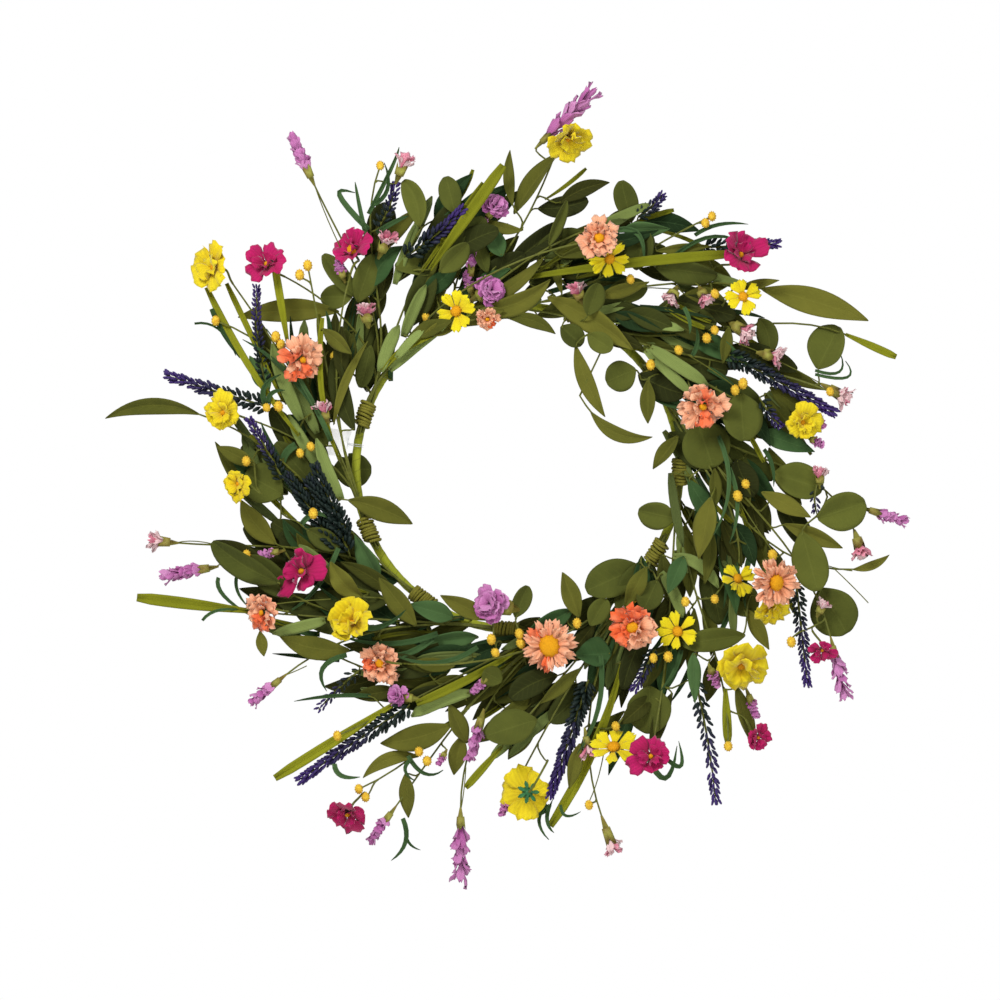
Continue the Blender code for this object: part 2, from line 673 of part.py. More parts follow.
def from_binding(growth):
    """How far a growth's end lies from its binding."""
    bunch, end = growth[:2]
    return (end - ring_direction(math.radians(BUNCH_ANGLES[bunch])) * RING_RADIUS).length


for bunch, end, heading, lift, mesh in sorted(growths, key=from_binding, reverse=True):
    grow(bunch, end, heading, lift)
    pieces[bunch].append(mesh)


# Flower heads: each stands on a stem of the bunch that lies foremost where the head is.
def room_in_front(tree, spot, radius, cone=0, lean=0):
    """The depth a head's rim can take in front of a tree's shapes, or None if they are nowhere near.

    The head is a cone of that length behind its rim, and its rim leans back by lean at its edge.
    """
    found = None
    for ring in range(LOOK_RINGS + 1):
        share = ring / LOOK_RINGS
        for step in range(max(1, ring * 8)):
            turn = 2 * math.pi * step / max(1, ring * 8)
            aside = Vector((math.cos(turn), 0, math.sin(turn))) * radius * share
            origin = spot + aside + RING_CENTRE
            origin.y = -0.3
            hit = tree.ray_cast(origin, Vector((0, 1, 0)))[0]
            if hit:
                room = hit.y - cone * (1 - share) - lean * share
                found = room if found is None else min(found, room)
    return found


bunch_trees = [tree_of(meshes) for meshes in pieces]
owners = []
for name, family, drawn, radius, facing, front in HEADS:
    spot = place(drawn)
    best = None
    for bunch in range(len(BUNCH_ANGLES)):
        if not 12 < reach_of(bunch, spot) < 95:
            continue
        depth = on_sheet(bunch, spot).y
        covered = room_in_front(bunch_trees[bunch], spot, (radius + 3) * MM)
        rank = depth if covered is not None else depth + 0.2
        if best is None or rank < best[0]:
            best = (rank, bunch)
    bunch = best[1]
    owners.append(bunch)
    clock = math.radians(BUNCH_ANGLES[bunch])
    chord = spot - ring_direction(clock) * RING_RADIUS
    heading = (chord.normalized() * 2 - ring_tangent(clock)).normalized()
    if front < 0:
        spot = spot + Vector((HOOK_SIDE[0], 0, HOOK_SIDE[1])) * (radius + 4) * MM
    grow(bunch, spot, heading, 0)

all_trees = [tree_of(meshes) for meshes in pieces]
head_trees = []


def head_solid(name, family, centre, normal, radius):
    """A lobed cup on a calyx: a cone widened to petals, with its front pressed in round a button."""
    lobes = {"peach": 12, "cosmos": 10, "ruffled": 10, "magenta": 10}[family]
    shape = bmesh.new()
    depth = radius * HEAD_DEPTH
    bmesh.ops.create_cone(
        shape, cap_ends=True, segments=lobes, radius1=2.2 * MM, radius2=radius, depth=depth
    )
    bmesh.ops.translate(shape, verts=shape.verts, vec=(0, 0, -depth / 2))
    front = max(shape.faces, key=lambda face: face.calc_center_median().z)
    rim = list(front.verts)
    for vert in rim:
        turn = math.atan2(vert.co.y, vert.co.x)
        vert.co *= 1 - 0.08 * (1 + math.cos(turn * lobes / 2))
        vert.co.z = 0
    raised = bmesh.ops.extrude_face_region(shape, geom=[front])["geom"]
    bmesh.ops.delete(shape, geom=[front], context="FACES_ONLY")
    top = [item for item in raised if isinstance(item, bmesh.types.BMFace)]
    bmesh.ops.translate(shape, verts=list(top[0].verts), vec=(0, 0, 2.5 * MM))
    bmesh.ops.inset_region(shape, faces=top, thickness=radius * 0.62)
    bmesh.ops.translate(shape, verts=list(top[0].verts), vec=(0, 0, 1.2 * MM))
    turn = normal.to_track_quat("Z", "Y")
    for vert in shape.verts:
        vert.co = turn @ vert.co + centre + RING_CENTRE
    mesh = bpy.data.meshes.new(name)
    bmesh.ops.recalc_face_normals(shape, faces=shape.faces)
    if shape.calc_volume(signed=True) < 0:
        bmesh.ops.reverse_faces(shape, faces=shape.faces)
    shape.to_mesh(mesh)
    shape.free()
    return mesh


for (name, family, drawn, drawn_radius, facing, front), bunch in zip(HEADS, owners):
    spot = place(drawn)
    radius = drawn_radius * MM
    lean = math.hypot(*facing)
    normal = Vector((facing[0], -front * math.sqrt(1 - lean * lean), facing[1]))
    cone = radius * HEAD_DEPTH if front > 0 else 4 * MM
    rooms = []
    for tree in all_trees + head_trees:
        room = room_in_front(tree, spot, radius + 1 * MM, cone, radius * lean)
        if room is not None:
            rooms.append(room)
    if not rooms:  # nothing lies behind it, so it stands on its own bunch's level
        rooms.append(on_sheet(bunch, spot).y - cone - radius * lean)
    centre = Vector((spot.x, min(rooms) - HEAD_CLEAR, spot.z))
    mesh = head_solid(name, family, centre, normal, radius)
    add_object(name, mesh, family)
    head_trees.append(tree_of([mesh]))
    seat = centre - normal * (radius * HEAD_DEPTH + HEAD_GAP)
    neck = [on_sheet(bunch, spot), seat - normal * 3 * MM, seat]
    if front < 0:
        beside = spot + Vector((HOOK_SIDE[0], 0, HOOK_SIDE[1])) * (radius + 4 * MM)
        neck[0] = Vector((beside.x, seat.y, beside.z))
        neck.insert(0, on_sheet(bunch, beside))
    pieces[bunch].append(tube("neck", neck, NECK_RADIUS))

# Each spray: everything of one bunch joined into one solid.
for bunch, meshes in enumerate(pieces):
    spray = add_object(f"spray_{bunch + 1:02d}", meshes[0], "foliage")
    others = bpy.data.collections.new(f"pieces_{bunch + 1:02d}")
    helpers.children.link(others)
    for number, mesh in enumerate(meshes[1:]):
        piece = add_object(f"piece_{bunch + 1:02d}_{number:02d}", mesh, None, others)
        piece.hide_render = True
        piece.display_type = "WIRE"
    join = spray.modifiers.new("join", "BOOLEAN")
    join.operation = "UNION"
    join.operand_type = "COLLECTION"
    join.collection = others

# Hang tag on its thread, turning about the hoop.
tag_out = ring_direction(TAG_CLOCK)
tag_along = ring_tangent(TAG_CLOCK) * -1
tag_middle = tag_out * (RING_RADIUS + THREAD_LOOP + TAG_HEIGHT * 0.5)
card = bmesh.new()
bmesh.ops.create_cube(card, size=1)
for corner in card.verts:
    near = tag_out * corner.co.z * TAG_HEIGHT + tag_along * corner.co.x * TAG_WIDTH
    thick = Vector((0, corner.co.y * TAG_THICKNESS, 0))
    corner.co = tag_middle + near + thick + RING_CENTRE
bmesh.ops.recalc_face_normals(card, faces=card.faces)
card_mesh = bpy.data.meshes.new("hang_tag")
card.to_mesh(card_mesh)
card.free()
tag = add_object("hang_tag", card_mesh, "card")

hole_spot = tag_out * (RING_RADIUS + THREAD_LOOP + TAG_HOLE * 1.8)
punch = tube(
    "punch",
    [hole_spot + Vector((0, 5 * MM, 0)), hole_spot - Vector((0, 5 * MM, 0))],
    TAG_HOLE,
    1,
)
punch_object = add_object("punch", punch, None, helpers)
punch_object.hide_render = True
punch_object.display_type = "WIRE"
cut = tag.modifiers.new("hole", "BOOLEAN")
cut.operation = "DIFFERENCE"
cut.object = punch_object

loop = []
for step in range(23):
    turn = math.radians(8 + step * 344 / 22)
    loop_radius = TAPE_RADIUS + CLEARANCE + THREAD_RADIUS * 1.4
    stretch = THREAD_LOOP + TAG_HOLE * 1.8 - loop_radius
    outward = loop_radius * math.cos(turn) + stretch * max(math.cos(turn), 0) ** 6
    depth = loop_radius * math.sin(turn)
    loop.append(tag_out * (RING_RADIUS + outward) + Vector((0, depth, 0)))
add_object("tag_thread", tube("tag_thread", loop, THREAD_RADIUS), "thread")
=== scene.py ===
# %% [markdown]
# # A wildflower wreath
#
# This lesson finishes an artificial wildflower wreath: a wire hoop wrapped in floral tape, with
# eleven bunches of wired fabric stems bound on round it. The solid frame of the wreath comes
# first, and every piece made below is placed from it and rides on it. All lengths are in metres.

# %% Load the frame
import json
import math
import random

import bpy
import numpy as np
from mathutils import Matrix, Vector

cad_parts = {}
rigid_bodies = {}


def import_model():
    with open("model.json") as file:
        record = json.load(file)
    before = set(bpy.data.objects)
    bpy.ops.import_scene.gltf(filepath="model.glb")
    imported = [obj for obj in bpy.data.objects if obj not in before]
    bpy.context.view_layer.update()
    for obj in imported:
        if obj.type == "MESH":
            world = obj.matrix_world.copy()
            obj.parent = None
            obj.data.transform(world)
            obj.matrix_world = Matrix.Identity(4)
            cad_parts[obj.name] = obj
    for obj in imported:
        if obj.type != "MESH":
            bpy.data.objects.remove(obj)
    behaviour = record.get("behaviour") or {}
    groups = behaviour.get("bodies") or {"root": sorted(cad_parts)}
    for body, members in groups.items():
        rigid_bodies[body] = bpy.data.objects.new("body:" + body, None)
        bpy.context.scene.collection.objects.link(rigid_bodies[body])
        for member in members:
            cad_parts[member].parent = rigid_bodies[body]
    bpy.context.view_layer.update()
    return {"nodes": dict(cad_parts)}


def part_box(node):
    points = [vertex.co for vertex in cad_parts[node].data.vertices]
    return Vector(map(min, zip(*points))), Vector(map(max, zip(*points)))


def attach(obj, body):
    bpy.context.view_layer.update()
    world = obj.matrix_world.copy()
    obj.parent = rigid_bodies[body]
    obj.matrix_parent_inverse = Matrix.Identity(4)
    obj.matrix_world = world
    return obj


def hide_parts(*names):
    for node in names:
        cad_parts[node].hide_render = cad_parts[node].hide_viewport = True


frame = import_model()
print("nodes in the frame:", len(frame["nodes"]))

# %% [markdown]
# ## Where things are
#
# A wreath is laid out like a clock. The hoop's box gives its centre, its radius and how thick
# the taped wire is. Flat positions below are (x, z) in millimetres from the hoop's centre,
# because a maker also lays stems out flat on a table before binding them.

# %% Measures read from the hoop
MM = 0.001
hoop_low, hoop_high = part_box("hoop_tape")
TAPE_RADIUS = (hoop_high.y - hoop_low.y) / 2
RING_RADIUS = (hoop_high.x - hoop_low.x) / 2 - TAPE_RADIUS
CENTRE = Vector(((hoop_low.x + hoop_high.x) / 2, 0, (hoop_low.z + hoop_high.z) / 2))
print("hoop radius", round(RING_RADIUS, 4), "tape radius", round(TAPE_RADIUS, 4))

# %% Directions round the hoop
def outward_at(clock):
    """Away from the hoop's centre at a clock angle in radians, clockwise from the top."""
    return Vector((math.sin(clock), 0, math.cos(clock)))


def onward_at(clock):
    """Clockwise along the hoop."""
    return Vector((math.cos(clock), 0, -math.sin(clock)))


# %% [markdown]
# ## How the bunches lie
#
# Each bunch is bound to the hoop at one clock angle, and its stems fan out clockwise. It climbs
# towards the viewer as it goes, so its leaves hide the binding of the next bunch, as fish scales
# overlap. A gently rising sheet for each bunch gives the depth of every leaf on it.

# %% The rising sheet of a bunch
BUNCH_ANGLES = (289, 321, 352, 22, 57, 91, 121, 152, 184, 216, 247)
LAYER_RISE = 15 * MM  # in 30 degrees of the hoop
SWEEP_BACK = 0.10  # outer ends lean back towards the wall
BUNDLE_RADIUS = 4.2 * MM
BUNDLE_DEPTH = TAPE_RADIUS + 0.55 * MM + BUNDLE_RADIUS


def reach_of(bunch, x, z):
    """Degrees that a spot lies clockwise of a bunch's binding, from -180 to 180."""
    clock = np.degrees(np.arctan2(x, z))
    return (clock - BUNCH_ANGLES[bunch] + 180) % 360 - 180


def sheet_depth(bunch, x, z):
    """How far the bunch's sheet lies towards the viewer there, as a world y."""
    rise = LAYER_RISE * np.maximum(reach_of(bunch, x, z), -8) / 30
    outside = np.maximum(np.hypot(x, z) - RING_RADIUS, 0)
    return -(BUNDLE_DEPTH + rise) + SWEEP_BACK * outside


def on_sheet(bunch, spot, lift=0.0):
    return Vector((spot.x, float(sheet_depth(bunch, spot.x, spot.z)) - lift, spot.z))


def flat(point):
    """A laid-out point in millimetres as a Vector in metres, still from the hoop's centre."""
    return Vector((point[0] * MM, 0, point[1] * MM))


print("sheet depth 30 degrees on:", round(float(sheet_depth(0, 0.0, 0.122)), 4))

# %% Which bunch carries a piece
def bunch_for(base, tip):
    """The bunch whose stems reach this base, running this way, with the least bend."""
    heading = (tip - base).normalized()
    best = None
    for bunch, angle in enumerate(BUNCH_ANGLES):
        reach = float(reach_of(bunch, base.x, base.z))
        if not 7 < reach < 78:
            continue
        clock = math.radians(angle)
        chord = base - outward_at(clock) * RING_RADIUS
        bend = chord.angle(onward_at(clock)) + chord.angle(heading)
        cost = bend + reach / 90
        if best is None or cost < best[0]:
            best = (cost, bunch)
    return best[1]


# %% [markdown]
# ## The leaves, one by one
#
# A maker chooses each stem and lets its leaves fall where they look right. So the leaves are a
# list, each with its kind, where it starts, where its tip is, its width, and how far its middle
# bows to the left of the line from start to tip.

# %% Leaf layout: kind, base, tip, width, bow
LEAVES = (
    ("round", (-122, 128), (-146, 160), 15, 0),
    ("round", (-120, 124), (-108, 160), 21, 0),
    ("round", (-124, 128), (-148, 128), 19, 0),
    ("strap", (-134, 6), (-146, 112), 4.5, 7),
    ("dark", (-112, 134), (-86, 166), 20, 4),
    ("round", (-57, 146), (-92, 150), 17, -3),
    ("blade", (-86, 98), (-69, 137), 9, 1),
    ("blade", (-103, 72), (-89, 107), 10, 1),
    ("round", (-110, 92), (-118, 60), 14, 0),
    ("willow", (-82, 98), (-49, 110), 13, 0),
    ("willow", (-138, 32), (-112, 95), 7, 4),
    ("willow", (-146, 104), (-124, 85), 12, 0),
    ("round", (-139, -1), (-110, -1), 27, 0),
    ("strap", (-66, 148), (-11, 226), 9, 0),
    ("strap", (-72, 147), (-26, 213), 5, 0),
    ("round", (-74, 180), (-86, 215), 17, -4),
    ("round", (-47, 190), (-54, 218), 17, 0),
    ("round", (-58, 146), (-38, 168), 19, 0),
    ("willow", (4, 178), (-28, 187), 9, 3),
    ("dark", (-12, 158), (-24, 183), 15, 0),
    ("round", (-23, 146), (-33, 172), 12, 0),
    ("willow", (-4, 196), (-6, 238), 9, 2),
    ("willow", (-3, 190), (31, 236), 15, 2),
    ("round", (23, 166), (36, 200), 10, 0),
    ("round", (85, 184), (77, 215), 18, 0),
    ("dark", (78, 178), (114, 179), 15, 0),
    ("round", (88, 148), (96, 178), 24, 0),
    ("round", (103, 150), (149, 144), 20, 0),
    ("strap", (4, 142), (163, 160), 8, 2),
    ("willow", (103, 162), (144, 166), 8, 0),
    ("blade", (28, 150), (56, 172), 9, 0),
    ("willow", (33, 130), (22, 170), 8, 0),
    ("willow", (-38, 119), (20, 158), 12, -5),
    ("willow", (-30, 118), (24, 141), 17, -7),
    ("willow", (22, 128), (86, 88), 20, 3),
    ("round", (52, 114), (60, 138), 17, 0),
    ("willow", (60, 128), (98, 139), 13, 0),
    ("blade", (68, 111), (124, 103), 9, 2),
    ("dark", (100, 114), (138, 124), 16, 0),
    ("willow", (118, 126), (160, 138), 10, 0),
    ("willow", (182, 134), (262, 110), 21, 2),
    ("willow", (164, 134), (195, 140), 8, 0),
    ("round", (224, 74), (240, 106), 31, 0),
    ("strap", (245, 100), (283, 83), 6, 0),
    ("round", (180, 112), (188, 86), 17, 3),
    ("willow", (158, 106), (153, 78), 10, 0),
    ("dark", (126, 102), (172, 78), 17, 0),
    ("blade", (99, 90), (142, 62), 10, 0),
    ("blade", (95, 88), (130, 55), 8, 0),
    ("round", (166, 56), (169, 20), 32, 0),
    ("round", (134, 36), (146, 0), 37, 0),
    ("dark", (181, 27), (222, 12), 16, 0),
    ("round", (191, -4), (228, -16), 27, 0),
    ("round", (224, -38), (260, -26), 30, 0),
    ("willow", (250, -76), (278, -65), 7, -3),
    ("round", (212, -48), (224, -92), 27, 0),
    ("willow", (199, -42), (243, -60), 13, 0),
    ("willow", (182, -18), (219, -37), 14, 0),
    ("willow", (147, 0), (148, -29), 10, 0),
    ("willow", (144, -22), (135, -68), 20, 0),
    ("blade", (116, -66), (150, -90), 9, 6),
    ("round", (92, -74), (51, -92), 29, 0),
    ("willow", (46, -112), (33, -78), 15, 0),
    ("round", (104, -84), (94, -106), 20, 0),
    ("blade", (107, -78), (123, -112), 9, 2),
    ("round", (170, -125), (123, -132), 18, 0),
    ("round", (158, -84), (176, -110), 25, 0),
    ("willow", (172, -106), (188, -136), 13, 0),
    ("dark", (70, -139), (42, -140), 25, 0),
    ("willow", (46, -150), (16, -176), 12, 0),
    ("strap", (78, -146), (24, -268), 8, 6),
    ("dark", (131, -138), (132, -176), 11, 0),
    ("round", (98, -163), (99, -199), 36, 0),
    ("strap", (155, -165), (157, -205), 7, 0),
    ("willow", (163, -162), (177, -210), 12, 0),
    ("willow", (46, -206), (38, -240), 12, 0),
    ("round", (226, -90), (246, -124), 36, 0),
    ("round", (-178, -86), (-228, -55), 20, 3),
    ("strap", (-200, -107), (-285, -97), 9, 0),
    ("blade", (-144, -114), (-184, -124), 9, 0),
    ("willow", (-126, -136), (-178, -126), 18, 4),
    ("willow", (-193, -122), (-190, -141), 9, 0),
    ("willow", (-181, -57), (-207, -24), 17, 3),
    ("round", (-158, -46), (-134, -60), 16, 0),
    ("strap", (-92, -176), (-182, -232), 8, 0),
    ("strap", (0, -136), (-76, -176), 7, 2),
    ("willow", (-238, 40), (-309, 37), 13, -8),
    ("willow", (-196, 2), (-225, 16), 12, 0),
    ("round", (-176, -20), (-204, -4), 30, 0),
    ("strap", (-164, 24), (-233, 135), 5.5, 4),
    ("strap", (-176, 50), (-218, 138), 4.5, 0),
    ("dark", (-186, 58), (-201, 84), 14, 0),
    ("willow", (-134, 117), (-210, 113), 18, -3),
    ("blade", (-162, 36), (-184, 93), 10, 2),
    ("blade", (-150, 26), (-169, 68), 9, 0),
    ("blade", (-132, -24), (-151, 22), 10, 2),
    ("blade", (-140, -10), (-172, 40), 9, 2),
    ("strap", (-172, 92), (-182, 152), 6, 0),
    ("willow", (-127, -24), (-79, -42), 18, 2),
    ("round", (118, -38), (90, -32), 23, 0),
    ("willow", (43, 92), (65, 38), 13, -3),
    ("willow", (54, 42), (100, 23), 11, -8),
    ("round", (88, 74), (66, 64), 24, 0),
    ("willow", (97, 66), (97, 33), 12, 0),
    ("willow", (120, 24), (101, -1), 12, 0),
    ("round", (-2, -112), (7, -88), 14, 0),
    ("willow", (-20, -114), (-58, -95), 14, 0),
    ("round", (14, -188), (-24, -200), 28, 0),
    ("willow", (-38, -206), (-52, -176), 15, 0),
    ("willow", (-50, -192), (-103, -206), 20, 3),
    ("willow", (-42, -200), (-48, -230), 14, 0),
    ("strap", (-12, -208), (-39, -239), 6, 0),
    ("willow", (-74, -216), (-116, -232), 11, -6),
    ("willow", (-84, -228), (-82, -262), 13, 0),
    ("blade", (-36, -168), (-80, -186), 11, -3),
    ("dark", (-30, -126), (-76, -130), 14, 0),
    ("dark", (-48, -112), (-82, -102), 16, 0),
    ("willow", (-76, -118), (-104, -82), 17, 0),
    ("dark", (-104, -84), (-122, -50), 17, 0),
    ("willow", (-116, -96), (-140, -70), 16, 4),
    ("round", (20, -148), (16, -168), 14, 0),
    ("round", (-12, -160), (-26, -152), 16, 0),
    ("blade", (-96, 73), (-52, 108), 9, 2),
    ("blade", (-91, 82), (-70, 104), 7, 1),
    ("strap", (-101, 73), (-64, 99), 6, 4),
    ("willow", (-70, 100), (-44, 108), 11, 0),
    ("willow", (-40, 106), (-10, 118), 12, 2),
    ("willow", (-8, 112), (28, 100), 11, 4),
    ("round", (32, 106), (48, 92), 17, 0),
    ("round", (52, 100), (70, 88), 16, 0),
    ("round", (54, -118), (66, -98), 16, 0),
    ("willow", (96, -74), (80, -104), 14, 0),
    ("willow", (18, -120), (34, -106), 12, 0),
    ("dark", (124, -66), (112, -94), 14, 0),
)
print("leaves:", len(LEAVES))

# %% Grass tufts: start, middle, tip, width
TUFTS = (
    ((-112, 165), (-119, 196), (-122, 214), 2.6),
    ((-112, 178), (-134, 204), (-122, 206), 3.4),
    ((-110, 196), (-98, 208), (-100, 228), 2.6),
    ((-112, 190), (-96, 222), (-89, 240), 2.6),
    ((-106, 176), (-92, 184), (-82, 188), 3.0),
    ((74, 178), (91, 174), (94, 152), 3.6),
    ((132, 174), (150, 182), (172, 182), 2.4),
    ((222, 73), (240, 72), (241, 86), 1.8),
    ((222, 70), (246, 68), (245, 80), 1.8),
    ((124, 120), (128, 110), (128, 100), 2.4),
    ((130, 84), (134, 94), (133, 105), 2.6),
    ((122, -136), (117, -152), (107, -166), 3.0),
    ((96, -212), (110, -232), (119, -208), 3.4),
    ((112, -218), (122, -222), (120, -204), 2.6),
    ((-229, 119), (-220, 100), (-208, 82), 2.8),
    ((-242, 108), (-224, 104), (-211, 84), 1.4),
    ((-188, 46), (-190, 60), (-177, 70), 3.2),
    ((-187, 48), (-184, 56), (-174, 58), 2.8),
    ((-166, 17), (-176, 4), (-171, -16), 4.4),
    ((-162, -42), (-152, -34), (-142, -38), 3.2),
    ((-224, -82), (-220, -96), (-198, -112), 2.4),
    ((-236, -114), (-222, -106), (-198, -108), 1.8),
    ((-210, -80), (-210, -92), (-202, -104), 2.0),
    ((-128, -140), (-146, -150), (-143, -167), 3.0),
    ((-137, -221), (-132, -230), (-118, -231), 3.0),
    ((-82, -215), (-70, -228), (-56, -226), 2.6),
    ((-80, -218), (-84, -226), (-77, -234), 2.4),
    ((-86, -262), (-84, -280), (-95, -294), 2.8),
    ((-84, -268), (-82, -280), (-73, -286), 1.8),
    ((6, -256), (18, -258), (26, -248), 2.4),
    ((22, -252), (16, -264), (23, -278), 2.4),
    ((24, -252), (22, -264), (27, -273), 2.4),
    ((32, -252), (36, -260), (47, -257), 1.8),
    ((184, 14), (190, 2), (191, -14), 2.4),
    ((-120, -118), (-102, -118), (-84, -106), 3.6),
    ((-60, -124), (-96, -132), (-132, -126), 3.4),
    ((-30, -134), (-62, -146), (-98, -138), 3.0),
    ((-64, -128), (-88, -140), (-110, -134), 3.6),
    ((150, 24), (158, -14), (146, -50), 2.8),
    ((158, 0), (164, -28), (158, -56), 2.6),
    ((-148, 40), (-176, 74), (-206, 96), 3.0),
    ((-140, 20), (-160, 60), (-188, 104), 3.0),
    ((110, 152), (140, 172), (168, 168), 2.6),
    ((62, -140), (60, -180), (44, -214), 3.0),
    ((-134, -60), (-152, -92), (-176, -110), 3.0),
)
print("tufts:", len(TUFTS))

# %% [markdown]
# ## Leaves that only fill
#
# Behind the leaves that catch the eye lie plainer ones that close the gaps between the stems.
# They follow their bunch's flow, so a rule places them: a start near the hoop, a slant outwards
# and a length, drawn from a seeded generator so the wreath is the same each time.

# %% Filler leaves near the hoop
FILLERS_EACH = 46
FILLER_WIDTHS = {"willow": 13, "round": 19, "dark": 15, "blade": 8, "strap": 4, "tuft": 4}


def filler_leaves():
    rng = random.Random(11)
    made = []
    for angle in BUNCH_ANGLES:
        for number in range(FILLERS_EACH):
            clock = math.radians(angle + rng.uniform(12, 58))
            bands = rng.uniform(112, 150), rng.uniform(125, 170), rng.uniform(150, 205)
            radius = bands[number % len(bands)]
            slant = rng.uniform(0.15, 0.95)
            heading = (onward_at(clock) + outward_at(clock) * slant).normalized()
            start = outward_at(clock) * radius
            length = rng.uniform(30, 58)
            kind = rng.choice(("willow", "willow", "round", "dark", "willow", "blade", "strap", "tuft"))
            width = FILLER_WIDTHS[kind] * rng.uniform(0.8, 1.15)
            tip = start + heading * length
            middle = (start + tip) / 2
            if -150 < middle.x < -104 and -34 < middle.z < 52:
                continue  # the hoop stays bare here, where the tag hangs
            bow = rng.uniform(-3, 3)
            if -150 < middle.x < -98 and -52 < middle.z < -34:
                continue  # and so does the binding below
            if middle.x < -20 and min(start.length + 5, middle.length) < 120:
                continue  # nor do leaves reach inside the hoop on the left
            made.append((kind, (start.x, start.z), (tip.x, tip.z), width, bow))
    return made


FILLERS = filler_leaves()
print("filler leaves:", len(FILLERS))

# %% [markdown]
# ## Spikes, sprays, berries and blooms
#
# The same way of listing serves for the other stems: lavender and the two kinds of small bloom
# run from their foot to their tip, berries sit at the end of a wire, and each large bloom has a
# centre, a radius and the way it faces.

# %% Lavender: foot, tip, radius, and how bare the spike is
LAVENDER = (
    ((-188, 46), (-265, 70), 6.0, 0.15),
    ((-176, -8), (-202, 38), 5.0, 0.1),
    ((-190, 66), (-195, 137), 4.5, 0.2),
    ((-104, 180), (-92, 214), 5.0, 0.25),
    ((-84, 158), (-40, 194), 6.5, 0.2),
    ((90, 188), (109, 206), 5.0, 0.0),
    ((140, 165), (197, 168), 5.5, 0.1),
    ((158, 84), (238, 40), 6.0, 0.0),
    ((182, 50), (198, 30), 4.5, 0.1),
    ((224, -12), (224, -36), 4.5, 0.4),
    ((208, -88), (216, -162), 5.0, 0.1),
    ((133, -160), (148, -250), 6.0, 0.4),
    ((102, -136), (85, -168), 4.5, 0.1),
    ((52, -160), (24, -245), 6.0, 0.0),
    ((-119, -152), (-150, -182), 4.5, 0.4),
    ((-82, -178), (-164, -234), 6.0, 0.1),
)
print("lavender spikes:", len(LAVENDER))

# %% Bare spikes without dye, dark and bristly: foot, tip, radius, bareness
BRISTLES = (
    ((-127, -62), (-158, -8), 6.5, 0.0),
    ((-136, -60), (-172, -6), 6.5, 0.0),
    ((-128, -48), (-152, 2), 6.0, 0.0),
)
print("bristles:", len(BRISTLES))

# %% Lilac sprays: calyx end, petal end, radius
LILAC = (
    ((-153, 213), (-172, 254), 5.5),
    ((14, 240), (64, 290), 4.5),
    ((-26, 186), (-10, 204), 12.0),
    ((-36, 138), (-33, 176), 4.5),
    ((-34, 126), (-10, 138), 14.0),
    ((0, -106), (-38, -98), 16.0),
    ((-226, -74), (-272, -82), 5.5),
    ((-174, -155), (-205, -180), 4.5),
    ((-74, -173), (-104, -168), 9.5),
    ((-26, -182), (-38, -225), 5.5),
    ((-54, -212), (-61, -224), 4.0),
    ((-92, -254), (-114, -284), 4.5),
    ((-43, -256), (-43, -318), 5.5),
    ((258, -30), (296, -42), 4.5),
    ((234, -128), (246, -180), 4.5),
    ((218, 22), (230, 16), 5.0),
    ((171, -166), (180, -190), 4.5),
    ((-130, 140), (-136, 158), 5.0),
    ((-176, -62), (-197, -66), 4.5),
    ((222, 40), (230, 28), 5.0),
    ((-22, -155), (-36, -170), 4.5),
    ((143, -148), (150, -166), 5.0),
    ((-6, -246), (-14, -262), 4.5),
    ((-34, 128), (-40, 150), 4.5),
    ((-28, 170), (-24, 192), 5.0),
)
print("lilac sprays:", len(LILAC))

# %% Small pink blooms: calyx end, petal end, radius
PINKS = (
    ((-91, 214), (-82, 238), 5.0),
    ((-104, 158), (-95, 178), 5.0),
    ((-112, 106), (-115, 124), 5.5),
    ((48, 124), (42, 138), 5.0),
    ((118, 134), (112, 122), 5.5),
    ((158, 110), (176, 96), 5.5),
    ((180, 86), (200, 82), 5.5),
    ((228, 62), (251, 49), 5.0),
    ((-256, -56), (-279, -54), 4.5),
    ((252, -48), (259, -70), 5.0),
    ((63, -262), (76, -298), 4.5),
    ((50, -196), (54, -220), 3.5),
    ((-142, 34), (-148, 50), 4.0),
    ((226, -14), (226, 2), 4.0),
    ((224, -110), (230, -98), 4.0),
    ((136, 134), (142, 122), 5.0),
)
print("pink blooms:", len(PINKS))

